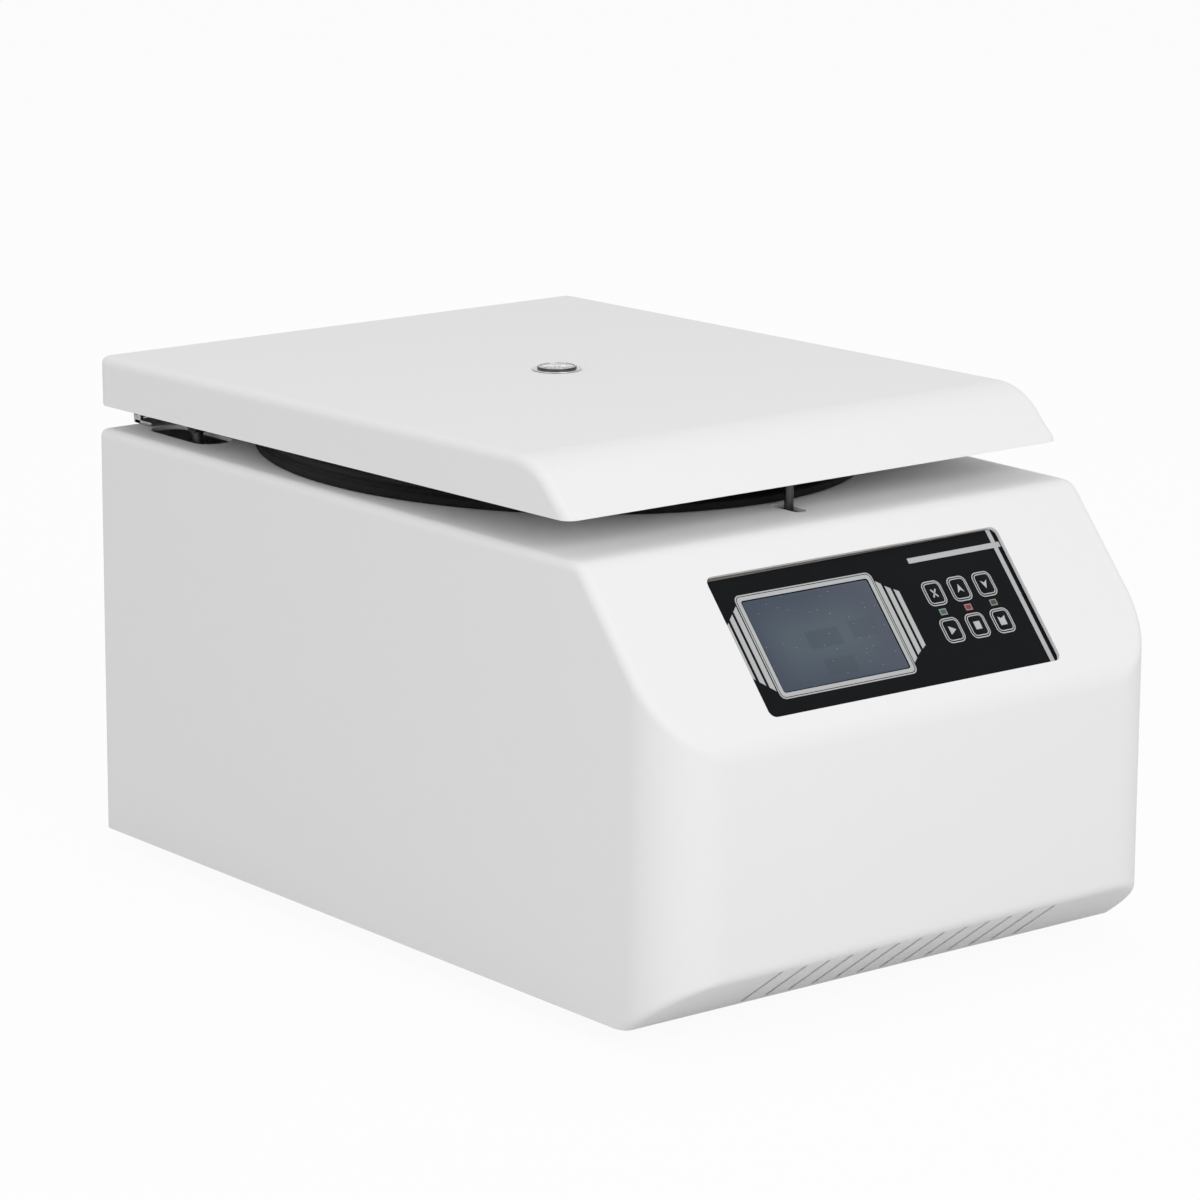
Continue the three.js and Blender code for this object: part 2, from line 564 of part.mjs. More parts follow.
// Cross-shaped yoke: four deep slots take the buckets, and pins in the slot walls carry them
function rotorYoke() {
  const outline = new THREE.Shape();
  const mouth = Math.sqrt(rotor.reach ** 2 - rotor.slotHalf ** 2);
  const start = Math.atan2(rotor.slotHalf, mouth);
  for (let i = 0; i < bucket.count; i += 1) {
    const turn = (i / bucket.count) * 2 * Math.PI;
    const at = (x, y) => new THREE.Vector2(x, y).rotateAround(new THREE.Vector2(), turn);
    const corners = [
      at(mouth, -rotor.slotHalf), at(rotor.slotFloor, -rotor.slotHalf),
      at(rotor.slotFloor, rotor.slotHalf), at(mouth, rotor.slotHalf),
    ];
    corners.forEach((corner, j) => {
      if (i === 0 && j === 0) outline.moveTo(corner.x, corner.y);
      else outline.lineTo(corner.x, corner.y);
    });
    outline.absarc(0, 0, rotor.reach, turn + start, turn + Math.PI / 2 - start, false);
  }
  const plate = prismZ(outline, pivotZ - rotor.armThickness / 2, pivotZ + rotor.armThickness / 2);
  const hub = barZ(rotor.hubRadius, rotor.hubBottom, hubTop, 0, 0, drumSides);
  const pins = [];
  for (let i = 0; i < bucket.count; i += 1) {
    const turn = turnedAboutZ((i / bucket.count) * 2 * Math.PI);
    for (const sign of [-1, 1]) {
      const from = rotor.slotHalf - trunnion.engagement;
      const to = rotor.slotHalf + trunnion.engagement;
      const pin = new THREE.CylinderGeometry(trunnion.radius, trunnion.radius, to - from, pegSides);
      const place = shifted(rotor.pivotRadius, (sign * (from + to)) / 2, pivotZ);
      pins.push(toSolid(pin, turn.clone().multiply(place)));
    }
  }
  const bore = barZ(shaft.radius + gap, rotor.hubBottom - overrun, hubTop + overrun, 0, 0);
  return cut(join(plate, hub, ...pins), bore);
}
function rotorNutSolid() {
  const bottom = hubTop + gap;
  const body = barZ(rotorNut.radius, bottom, bottom + rotorNut.height, 0, 0, rotorNut.flats);
  const dome = turning([
    [0, bottom + rotorNut.height - overrun], [rotorNut.domeRadius, bottom + rotorNut.height - overrun],
    [rotorNut.domeRadius, bottom + rotorNut.height],
    [rotorNut.domeRadius * Math.SQRT1_2, bottom + rotorNut.height + rotorNut.domeHeight * Math.SQRT1_2],
    [0, bottom + rotorNut.height + rotorNut.domeHeight],
  ], 0, 0, pegSides);
  const thread = barZ(shaft.threadRadius + gap, bottom - overrun, hubTop + shaft.thread + gap, 0, 0);
  return cut(join(body, dome), thread);
}

// Bucket with a boss on each flank. Its own frame has the pivot at the origin and the pins along Y.
function bucketSolid() {
  const inner = bucket.outer - bucket.wall;
  const cup = turning([
    [0, -bucket.below], [bucket.outer - bucket.bottomRadius, -bucket.below],
    [bucket.outer, -bucket.below + bucket.bottomRadius], [bucket.outer, bucket.above - bucket.rimHeight],
    [bucket.rim, bucket.above - bucket.rimHeight], [bucket.rim, bucket.above], [inner, bucket.above],
    [inner, -bucket.below + bucket.floor + bucket.bottomRadius],
    [inner - bucket.bottomRadius, -bucket.below + bucket.floor], [0, -bucket.below + bucket.floor],
  ], 0, 0, pegSides + archSteps);
  const bossOuter = rotor.slotHalf - gap;
  const bossInner = bucket.outer - bucket.wall / 2;
  const pinEnd = rotor.slotHalf - trunnion.engagement - gap;
  const bosses = [-1, 1].map((sign) => barY(bucket.boss, ...span(sign, bossInner, bossOuter), 0, 0));
  const bores = [-1, 1].map((sign) =>
    barY(trunnion.radius + gap, ...span(sign, pinEnd, bossOuter + overrun), 0, 0));
  return cut(join(cup, ...bosses), ...bores);
}

// Control panel pieces, all in the slope's frame. Depths count inwards from the case's outer face.
const panelFace = -shell.wall - gap;
const panelBack = panelFace - panel.thickness;
const boardFace = panelFace - board.depth;
const keyCentres = [];
for (let row = 0; row < 2; row += 1) {
  for (let column = 0; column < keypad.columns; column += 1) {
    keyCentres.push([keypad.firstX + column * keypad.pitchX, keypad.firstFrom + row * keypad.pitchFrom]);
  }
}
const lampCentres = lampColours.map((_, i) => [keypad.firstX + i * keypad.pitchX, lamp.from]);
const keyOutline = ([x, from], grow) => slopeRectangle(
  x, keypad.keyWidth, from - keypad.keyLength / 2, keypad.keyLength, grow, keypad.corner + grow);
const lampOutline = ([x, from], grow) =>
  slopeRectangle(x, lamp.width, from - lamp.length / 2, lamp.length, grow, 0);
const windowOutline = (grow) => slopeRectangle(
  display.centreX, display.width, display.from, display.length, grow, display.corner + grow);

function controlOverlay() {
  const plate = onSlope(
    slopeRectangle(panel.centreX, panel.width, panel.from, panel.length, panel.border, panel.corner),
    panelBack, panelFace,
  );
  const through = (outline) => onSlope(outline, panelBack - overrun, panelFace + overrun, bendSteps);
  return cut(
    plate, through(windowOutline(0)), ...keyCentres.map((centre) => through(keyOutline(centre, 0))),
    ...lampCentres.map((centre) => through(lampOutline(centre, 0))),
  );
}
function displayModule() {
  const back = panelBack - gap - display.depth;
  const glass = onSlope(windowOutline(-gap), back, panelFace - display.recess, bendSteps);
  const can = onSlope(windowOutline(display.rim), back, panelBack - gap, bendSteps);
  return join(glass, can);
}
function keySolid(centre) {
  const front = panelFace + keypad.proud;
  return onSlope(keyOutline(centre, -gap), front - keypad.keyDepth, front, bendSteps);
}
function lampSolid(centre) {
  return onSlope(lampOutline(centre, -gap), panelFace - lamp.thickness, panelFace, bendSteps);
}

// Circuit board behind the panel: posts up to the panel, a switch under each key, a stem under each lamp
function controlBoard() {
  const plate = onSlope(
    slopeRectangle(panel.centreX, panel.width, panel.from, panel.length, -board.margin, 0),
    boardFace - board.thickness, boardFace,
  );
  const root = boardFace - board.thickness / 2;
  const post = (x, y, top) => toSolid(
    new THREE.CylinderGeometry(board.post, board.post, top - root, postSides).rotateX(Math.PI / 2),
    slopeFrame.clone().multiply(shifted(x, y, (top + root) / 2)),
  );
  const edgeX = panel.width / 2 - board.margin - board.postInset;
  const edgeY = board.margin + board.postInset;
  const posts = [-1, 1].flatMap((sign) => [edgeY, panel.length - edgeY].map((from) =>
    post(panel.centreX + sign * edgeX, -panel.from - from, panelBack - gap)));
  const switchTop = panelFace + keypad.proud - keypad.keyDepth - keypad.travel - gap;
  const switches = keyCentres.map(([x, from]) => post(x, -from, switchTop));
  const stems = lampCentres.map(([x, from]) => post(x, -from, panelFace - lamp.thickness - gap));
  return join(plate, ...posts, ...switches, ...stems);
}

// Electronics on the floor pan: a board on posts with a wound coil block and a finned heat sink
function powerBoardSolid() {
  const floor = base.thickness + gap;
  const face = floor + powerBoard.standoff + powerBoard.thickness;
  const b = powerBoard;
  const plate = block(b.left, b.right, b.front, b.rear, floor + b.standoff, face);
  const posts = [b.left + b.postInset, b.right - b.postInset].flatMap((x) =>
    [b.front + b.postInset, b.rear - b.postInset].map((y) =>
      barZ(b.postRadius, floor, face - b.thickness / 2, x, y, postSides)));
  const root = face - b.thickness / 2;
  const coil = block(b.coilLeft, b.coilRight, b.coilFront, b.coilRear, root, face + b.coilHeight);
  const sink = block(b.finLeft, b.finRight, b.finFront, b.finRear, root, face + b.finThickness);
  const fins = [];
  for (let x = b.finLeft; x + b.finThickness <= b.finRight; x += b.finPitch) {
    fins.push(block(x, x + b.finThickness, b.finFront, b.finRear, face, face + b.finHeight));
  }
  return join(plate, ...posts, coil, sink, ...fins);
}

// Cooling fan behind the back wall: a square frame with a duct and spars, and a bladed wheel on an axle
const fanBack = rearInner - gap;
const fanFront = fanBack - fan.depth;
const fanSeat = fanFront + fan.seatWall;
function fanFrame() {
  const half = fan.size / 2;
  const square = rectangle(fan.x - half, fan.x + half, fan.z - half, fan.z + half, fan.corner);
  const frame = cut(
    prismY(square, fanFront, fanBack, bendSteps),
    barY(fan.duct, fanFront - overrun, fanBack + overrun, fan.x, fan.z, drumSides),
  );
  const hub = barY(fan.hub, fanFront, fanFront + fan.hubDepth, fan.x, fan.z, pegSides);
  const spars = [];
  for (let i = 0; i < fan.spars; i += 1) {
    const spar = new THREE.BoxGeometry(fan.duct - fan.hub / 2 + fan.corner / 2, fan.hubDepth, fan.sparWidth)
      .translate((fan.duct + fan.hub / 2 + fan.corner / 2) / 2, 0, 0)
      .rotateY((i / fan.spars) * 2 * Math.PI + Math.PI / fan.spars);
    spars.push(toSolid(spar, shifted(fan.x, fanFront + fan.hubDepth / 2, fan.z)));
  }
  const seat = barY(fan.axle + bearingGap, fanSeat, fanFront + fan.hubDepth + overrun, fan.x, fan.z);
  return cut(join(frame, hub, ...spars), seat);
}
function fanImpeller() {
  const front = fanFront + fan.hubDepth + bearingGap;
  const hub = barY(fan.impellerHub, front, front + fan.bladeDepth, fan.x, fan.z, pegSides);
  const axle = barY(fan.axle, fanSeat + bearingGap, front + overrun, fan.x, fan.z);
  const blades = [];
  const length = fan.bladeReach - fan.impellerHub / 2;
  for (let i = 0; i < fan.blades; i += 1) {
    const blade = new THREE.BoxGeometry(length, fan.bladeDepth - fan.bladeThickness * 2, fan.bladeThickness)
      .rotateX(THREE.MathUtils.degToRad(fan.bladePitchDegrees))
      .translate(fan.bladeReach - length / 2, 0, 0)
      .rotateY((i / fan.blades) * 2 * Math.PI);
    blades.push(toSolid(blade, shifted(fan.x, front + fan.bladeDepth / 2, fan.z)));
  }
  return join(hub, axle, ...blades);
}

// Mains inlet: a flange on the back wall, a body through it and a socket with three blades
function powerInlet() {
  const seat = rearOuter + gap;
  const face = seat + inlet.flange;
  const at = (halfX, halfZ, y0, y1) =>
    block(inlet.x - halfX, inlet.x + halfX, y0, y1, inlet.z - halfZ, inlet.z + halfZ);
  const flange = prismY(rectangle(
    inlet.x - inlet.flangeWidth / 2, inlet.x + inlet.flangeWidth / 2,
    inlet.z - inlet.flangeHeight / 2, inlet.z + inlet.flangeHeight / 2, inlet.corner,
  ), seat, face, bendSteps);
  const body = at(inlet.bodyWidth / 2, inlet.bodyHeight / 2, face - inlet.bodyDepth, face);
  const bottom = face - inlet.socketDepth;
  const socket = at(inlet.socketWidth / 2, inlet.socketHeight / 2, bottom, face + overrun);
  const pin = (x, z) => block(
    x - inlet.pinWidth / 2, x + inlet.pinWidth / 2, bottom - inlet.pinWidth / 2, bottom + inlet.pinLength,
    z - inlet.pinHeight / 2, z + inlet.pinHeight / 2,
  );
  const pins = [
    pin(inlet.x - inlet.pinSpread, inlet.z - inlet.pinDrop),
    pin(inlet.x + inlet.pinSpread, inlet.z - inlet.pinDrop),
    pin(inlet.x, inlet.z + inlet.pinDrop),
  ];
  return join(cut(join(flange, body), socket), ...pins);
}

// Mains switch: a frame in the back wall and a rocker on two small pins
const rockerAxisY = rearOuter + gap + rocker.flange - rocker.axisInset;
function switchFrame() {
  const seat = rearOuter + gap;
  const face = seat + rocker.flange;
  const at = (halfX, halfZ, y0, y1) =>
    block(rocker.x - halfX, rocker.x + halfX, y0, y1, rocker.z - halfZ, rocker.z + halfZ);
  const body = join(
    at(rocker.frameWidth / 2, rocker.frameHeight / 2, seat, face),
    at(rocker.bodyWidth / 2, rocker.bodyHeight / 2, face - rocker.bodyDepth, face),
  );
  const bottom = face - rocker.windowDepth;
  const hollow = at(rocker.windowHalfWidth, rocker.windowHalfHeight, bottom, face + overrun);
  const pinHole = barX(
    rocker.pin + gap, rocker.x - rocker.halfWidth - rocker.pinLength - gap,
    rocker.x + rocker.halfWidth + rocker.pinLength + gap, rockerAxisY, rocker.z, postSides,
  );
  return cut(body, hollow, pinHole);
}
function rockerSolid() {
  const outline = new THREE.Shape([
    [-rocker.back, -rocker.backHalfHeight], [rocker.shoulder, -rocker.halfHeight], [rocker.crown, 0],
    [rocker.shoulder, rocker.halfHeight], [-rocker.back, rocker.backHalfHeight],
  ].map(([y, z]) => new THREE.Vector2(y, z)));
  const body = prismX(outline, -rocker.halfWidth, rocker.halfWidth);
  const reach = rocker.halfWidth + rocker.pinLength;
  return join(body, barX(rocker.pin, -reach, reach, 0, 0, postSides));
}

// Hinge axis and lid levels, with the lid closed
const hingeY = shell.depth - hinge.fromRear;
const hingeZ = shell.height + hinge.aboveCase;
const lidRear = shell.depth + lid.rearOverhang;
const lidFront = lidRear - lid.depth;
const lidTop = lidBottom + lid.height;

function lidForm(inset, bottomInset) {
  const side = [
    [lidFront, lidBottom, lid.lip], [lidRear, lidBottom, 0], [lidRear, lidTop, lid.rearEdge],
    [lidFront + lid.frontSlope, lidTop, lid.frontBend],
  ];
  const plan = [
    [-lid.width / 2, lidFront, lid.corner], [lid.width / 2, lidFront, lid.corner],
    [lid.width / 2, lidRear, lid.corner], [-lid.width / 2, lidRear, lid.corner],
  ];
  const front = [
    [-lid.width / 2, lidBottom, 0], [lid.width / 2, lidBottom, 0],
    [lid.width / 2, lidTop, lid.topEdge], [-lid.width / 2, lidTop, lid.topEdge],
  ];
  const sideOutline = roundedOutline(insetCorners(side, [bottomInset, inset, inset, inset]));
  const planOutline = roundedOutline(insetCorners(plan, [inset, inset, inset, inset]));
  const frontOutline = roundedOutline(insetCorners(front, [bottomInset, inset, inset, inset]));
  return common(
    prismX(sideOutline, -lid.width, lid.width),
    prismZ(planOutline, lidBottom - lid.height, lidTop + lid.height),
    prismY(frontOutline, lidFront - lid.depth, lidRear + lid.depth),
  );
}
function lidShell() {
  const sightHole = barZ(sight.sleeve + gap, lidBottom, lidTop + overrun, 0, chamber.axisY, pegSides);
  return cut(lidForm(0, 0), lidForm(lid.wall, -overrun), sightHole);
}
function lidInnerPanel() {
  const slab = block(-lid.width, lid.width, lidFront, lidRear, lidBottom, lidBottom + lidPanel.thickness);
  return cut(
    common(slab, lidForm(lid.wall + gap, -overrun)),
    barZ(sight.bore, lidBottom - overrun, lidBottom + lid.height, 0, chamber.axisY, pegSides),
  );
}

// Sight glass: a flanged sleeve from the lid's top down to its inner panel, and a lens inside it
function sightBezel() {
  const seat = lidTop + gap;
  const bottom = lidBottom + lidPanel.thickness + gap;
  return turning(ringProfile([
    [sight.bore, bottom], [sight.sleeve, bottom], [sight.sleeve, seat], [sight.flange, seat],
    [sight.flange, seat + sight.flangeHeight / 2], [sight.sleeve, seat + sight.flangeHeight],
    [sight.bore, seat + sight.flangeHeight],
  ]), 0, chamber.axisY, drumSides);
}
function sightGlass() {
  const top = lidTop + gap + sight.flangeHeight - sight.lensDrop;
  return barZ(sight.bore - gap, top - sight.lensThickness, top, 0, chamber.axisY, drumSides);
}

// Striker: a plate under the lid, a rod and a looped foot that the bolt enters
const strikerBottom = shell.height - striker.blockBottom;
function strikerSolid() {
  const plateTop = lidBottom - gap;
  const blockTop = strikerBottom + striker.foot * 2 + striker.windowHeight;
  const plate = barZ(striker.plate, plateTop - striker.plateThickness, plateTop, 0, striker.y, pegSides);
  const rodTop = plateTop - striker.plateThickness / 2;
  const rod = barZ(striker.rod, blockTop - striker.foot, rodTop, 0, striker.y);
  const loop = block(
    -striker.halfWidth, striker.halfWidth, striker.y - striker.halfDepth, striker.y + striker.halfDepth,
    strikerBottom, blockTop,
  );
  const window = block(
    -striker.halfWidth - overrun, striker.halfWidth + overrun,
    striker.y - striker.windowHalf, striker.y + striker.windowHalf,
    strikerBottom + striker.foot, strikerBottom + striker.foot + striker.windowHeight,
  );
  return join(cut(loop, window), rod, plate);
}
const boltBottom = strikerBottom + striker.foot + bolt.lift;
function lockBody() {
  const top = shell.height - shell.wall - gap;
  const body = block(
    -lock.near - lock.length, -lock.near, striker.y - lock.halfDepth, striker.y + lock.halfDepth,
    top - lock.height, top,
  );
  const channel = block(
    -bolt.fromAxis - bolt.length - gap, -lock.near + overrun,
    striker.y - bolt.width / 2 - gap, striker.y + bolt.width / 2 + gap,
    boltBottom - gap, boltBottom + bolt.height + gap,
  );
  return cut(body, channel);
}
function lockBolt() {
  return block(
    -bolt.fromAxis - bolt.length, -bolt.fromAxis, striker.y - bolt.width / 2, striker.y + bolt.width / 2,
    boltBottom, boltBottom + bolt.height,
  );
}

// Hinge pieces
const bracketRear = shell.depth - hinge.rearMargin;
function hingeBracket(sign) {
  const seat = shell.height + gap;
  const [x0, x1] = span(sign, hinge.inner, hinge.outer);
  const plate = block(x0, x1, bracketRear - hinge.plateDepth, bracketRear, seat, seat + hinge.ear);
  const outline = lugOutline(hingeY, hingeZ, hinge.knuckle, seat, bracketRear - hingeY);
  const ear = (from, to) => prismX(outline, from, to, archSteps);
  const pinHole = barX(hinge.pin + gap, x0 - overrun, x1 + overrun, hingeY, hingeZ);
  return cut(join(plate, ear(x0, x0 + hinge.ear), ear(x1 - hinge.ear, x1)), pinHole);
}
function hingePin(sign) {
  const [x0, x1] = span(sign, hinge.inner, hinge.outer);
  return barX(hinge.pin, x0, x1, hingeY, hingeZ);
}

// Lid leaf: a knuckle around the pin, a plate under the lid and an ear with a stub for the strut
const strutTopZ = shell.height + strut.topAboveCase;
function lidLeaf(sign) {
  const top = lidBottom - gap;
  const [x0, x1] = span(sign, hinge.inner + hinge.ear + gap, hinge.outer - hinge.ear - gap);
  const [p0, p1] = span(sign, hinge.inner + hinge.ear + gap, leaf.outer);
  const [e0, e1] = span(sign, leaf.outer - leaf.earThickness, leaf.outer);
  const knuckle = barX(hinge.knuckle, x0, x1, hingeY, hingeZ);
  const plate = block(p0, p1, hingeY - leaf.length, hingeY, top - leaf.thickness, top);
  const earOutline = lugOutline(strut.topY, strutTopZ, strut.eye, top - leaf.thickness / 2);
  const ear = prismX(earOutline, e0, e1, archSteps);
  const [s0, s1] = span(sign, leaf.outer - leaf.earThickness / 2, strut.x + strut.eyeWidth / 2);
  const stub = barX(strut.pin, s0, s1, strut.topY, strutTopZ);
  const pinHole = barX(hinge.pin + gap, x0 - overrun, x1 + overrun, hingeY, hingeZ);
  return cut(join(knuckle, plate, ear, stub), pinHole);
}

// Gas strut, in its own frame: the foot pivot at the origin and the lid pivot up the Z axis
const ajar = THREE.MathUtils.degToRad(lid.ajarDegrees);
const topOffset = new THREE.Vector2(strut.topY - hingeY, strutTopZ - hingeZ)
  .rotateAround(new THREE.Vector2(), -ajar);
const strutTop = new THREE.Vector2(hingeY + topOffset.x, hingeZ + topOffset.y);
const strutRise = strutTop.clone().sub(new THREE.Vector2(strut.footY, strut.footZ));
const strutLength = strutRise.length();
const strutLean = Math.atan2(strutRise.x, strutRise.y);
const cylinderTop = strutLength - strut.neckLength;
const cylinderBottom = cylinderTop - strut.bodyLength;
function strutCylinder() {
  const half = strut.eyeWidth / 2;
  const body = turning([
    [0, cylinderTop], [strut.bodyRadius, cylinderTop], [strut.bodyRadius, cylinderBottom],
    [strut.rod + bearingGap, cylinderBottom], [strut.rod + bearingGap, cylinderBottom + strut.capThickness],
    [strut.bodyBore, cylinderBottom + strut.capThickness],
    [strut.bodyBore, cylinderTop - strut.capThickness],
    [0, cylinderTop - strut.capThickness],
  ], 0, 0, pegSides);
  const neckFrom = cylinderTop - strut.capThickness / 2;
  const neck = barZ(strut.neck, neckFrom, strutLength - strut.eye / 2, 0, 0, postSides);
  const eye = barX(strut.eye, -half + gap, half - gap, 0, strutLength);
  const hole = barX(strut.pin + gap, -half - overrun, half + overrun, 0, strutLength);
  return cut(join(body, neck, eye), hole);
}
function strutRod(sign) {
  const top = strutLength - strut.rodStart;
  const rod = barZ(strut.rod, 0, top, 0, 0, pegSides);
  const end = barX(strut.eye, -strut.eyeWidth / 2, strut.eyeWidth / 2, 0, 0);
  const [s0, s1] = span(sign, 0, strut.eyeWidth / 2 + strut.stubLength);
  return join(rod, end, barX(strut.stub, s0, s1, 0, 0));
}

// Strut anchor: an upright plate on the floor pan whose window takes the rod's stub with play all round
function strutAnchor(sign) {
  const near = strut.x + strut.eyeWidth / 2 + anchor.standOff;
  const far = near + anchor.thickness;
  const floor = base.thickness + gap;
  const outline = roundedOutline([
    [sign * near, floor, 0], [sign * (near + anchor.footLength), floor, 0],
    [sign * (near + anchor.footLength), floor + anchor.thickness, 0],
    [sign * far, floor + anchor.thickness, 0],
    [sign * far, strut.footZ + anchor.above, 0], [sign * near, strut.footZ + anchor.above, 0],
  ]);
  const bracket = prismY(outline, strut.footY - anchor.halfDepth, strut.footY + anchor.halfDepth);
  const [x0, x1] = span(sign, near - overrun, far + overrun);
  const window = block(
    x0, x1, strut.footY - anchor.window, strut.footY + anchor.window,
    strut.footZ - anchor.window, strut.footZ + anchor.window,
  );
  return cut(bracket, window);
}

// Assembly. Case pieces are placed from the case's front bottom edge, so one group lifts them onto the feet
// and centres the whole depth, which ends at the back of the ajar lid.
const lidReach = new THREE.Vector2(lidRear - hingeY, lidTop - lid.rearEdge - hingeZ)
  .rotateAround(new THREE.Vector2(), -ajar);
const group = new THREE.Group();
const machine = new THREE.Group();
machine.position.set(0, -(hingeY + lidReach.x) / 2, foot.height);
group.add(machine);

piece("housing", housing(), whitePaint, machine);
piece("base_plate", basePlate(), steelSheet, machine);
piece("rear_panel", rearPanel(), whitePaint, machine);
footPlaces.forEach(([place, x, y]) => piece(`foot_${place}`, footSolid(x, y), blackRubber, machine));
piece("chamber_bowl", chamberBowl(), stainless, machine);
piece("chamber_gasket", chamberGasket(), blackRubber, machine);
piece("guard_ring", guardRing(), steelSheet, machine);
piece("shaft_boot", shaftBoot(), blackRubber, machine);
piece("motor", motorBody(), motorPaint, machine);
piece("motor_plate", motorPlateSolid(), steelSheet, machine);
for (let i = 0; i < damper.count; i += 1) piece(`damper_${i + 1}`, damperSolid(i), blackRubber, machine);
piece("control_overlay", controlOverlay(), overlayFilm, machine);
piece("display_module", displayModule(), displayGlass, machine);
["shift", "up", "down", "start", "stop", "open"].forEach((label, i) =>
  piece(`key_${label}`, keySolid(keyCentres[i]), overlayFilm, machine));
["green", "red", "amber"].forEach((label, i) =>
  piece(`lamp_${label}`, lampSolid(lampCentres[i]), lampColours[i], machine));
piece("control_board", controlBoard(), circuitGreen, machine);
piece("power_board", powerBoardSolid(), circuitGreen, machine);
piece("power_inlet", powerInlet(), blackPlastic, machine);
piece("switch_frame", switchFrame(), blackPlastic, machine);
piece("fan_frame", fanFrame(), blackPlastic, machine);
piece("fan_impeller", fanImpeller(), blackPlastic, machine);
piece("lock_body", lockBody(), zinc, machine);
piece("lock_bolt", lockBolt(), steelSheet, machine);
sides.forEach(([label, sign]) => {
  piece(`hinge_bracket_${label}`, hingeBracket(sign), zinc, machine);
  piece(`hinge_pin_${label}`, hingePin(sign), steelSheet, machine);
  piece(`strut_anchor_${label}`, strutAnchor(sign), zinc, machine);
});

const rockerGroup = new THREE.Group();
rockerGroup.position.set(rocker.x, rockerAxisY, rocker.z);
rockerGroup.rotation.x = THREE.MathUtils.degToRad(rocker.tiltDegrees);
machine.add(rockerGroup);
piece("switch_rocker", rockerSolid(), blackPlastic, rockerGroup);

const rotorGroup = new THREE.Group();
rotorGroup.position.set(0, chamber.axisY, 0);
machine.add(rotorGroup);
piece("motor_shaft", motorShaft(), steelSheet, machine);
piece("rotor_yoke", rotorYoke(), castAluminium, rotorGroup);
piece("rotor_nut", rotorNutSolid(), stainless, rotorGroup);
for (let i = 0; i < bucket.count; i += 1) {
  const turn = (i / bucket.count) * 2 * Math.PI;
  const seat = new THREE.Group();
  seat.position.set(rotor.pivotRadius * Math.cos(turn), rotor.pivotRadius * Math.sin(turn), pivotZ);
  seat.rotation.z = turn;
  rotorGroup.add(seat);
  piece(`bucket_${i + 1}`, bucketSolid(), castAluminium, seat);
}

// The lid stands slightly ajar, turned about the hinge pins
const lidPivot = new THREE.Group();
lidPivot.position.set(0, hingeY, hingeZ);
lidPivot.rotation.x = -ajar;
const lidGroup = new THREE.Group();
lidGroup.position.set(0, -hingeY, -hingeZ);
lidPivot.add(lidGroup);
machine.add(lidPivot);
piece("lid_shell", lidShell(), whitePaint, lidGroup);
piece("lid_inner_panel", lidInnerPanel(), whitePaint, lidGroup);
piece("sight_bezel", sightBezel(), stainless, lidGroup);
piece("sight_glass", sightGlass(), clearLens, lidGroup);
piece("striker", strikerSolid(), steelSheet, lidGroup);
sides.forEach(([label, sign]) => piece(`lid_leaf_${label}`, lidLeaf(sign), zinc, lidGroup));

sides.forEach(([label, sign]) => {
  const seat = new THREE.Group();
  seat.position.set(sign * strut.x, strut.footY, strut.footZ);
  seat.rotation.x = -strutLean;
  machine.add(seat);
  piece(`strut_cylinder_${label}`, strutCylinder(), motorPaint, seat);
  piece(`strut_rod_${label}`, strutRod(sign), stainless, seat);
});

export default group;
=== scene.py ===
import math

import bpy
import numpy as np
from mathutils import Matrix, Vector
from mathutils.geometry import tessellate_polygon


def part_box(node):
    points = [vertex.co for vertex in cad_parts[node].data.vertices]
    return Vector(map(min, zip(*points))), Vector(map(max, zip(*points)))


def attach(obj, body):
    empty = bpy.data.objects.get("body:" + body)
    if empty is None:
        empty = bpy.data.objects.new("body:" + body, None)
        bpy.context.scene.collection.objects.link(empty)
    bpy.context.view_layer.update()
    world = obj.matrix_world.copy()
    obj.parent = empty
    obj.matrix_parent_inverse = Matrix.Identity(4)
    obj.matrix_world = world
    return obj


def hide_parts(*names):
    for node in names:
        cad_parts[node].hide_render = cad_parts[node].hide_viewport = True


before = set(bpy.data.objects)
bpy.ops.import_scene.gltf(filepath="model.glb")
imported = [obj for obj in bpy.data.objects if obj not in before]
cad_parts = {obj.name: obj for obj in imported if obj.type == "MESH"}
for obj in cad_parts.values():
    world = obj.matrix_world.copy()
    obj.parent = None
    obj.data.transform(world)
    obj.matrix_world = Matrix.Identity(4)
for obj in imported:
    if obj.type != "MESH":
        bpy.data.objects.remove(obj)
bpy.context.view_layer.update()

# Case millimetres: x to the right from the middle, y back from the front face, z up from the case's lower edge
shell = {
    "width": 400, "depth": 600, "height": 274, "wall": 2.5, "edge": 6,
    "frontCorner": 42, "rearCorner": 5.5, "topEdge": 6.5, "slopeDepth": 88, "slopeHeight": 102,
    "slopeTopBend": 15, "slopeFootBend": 22, "chamferDepth": 44, "chamferHeight": 33, "chamferBend": 9,
}
gap = 0.3
ajarDegrees = 0.9
spinY = 363
lidUnder = 288.7
strutTop = (536, 281)
slopeAngle = math.atan2(shell["slopeHeight"], shell["slopeDepth"])
origin = np.array(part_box("housing")[0]) * 1000 + np.array([shell["width"] / 2, 0, 0])
hingeY, hingeZ = shell["depth"] - 3, shell["height"] + 9
sides = (("left", -1), ("right", 1))


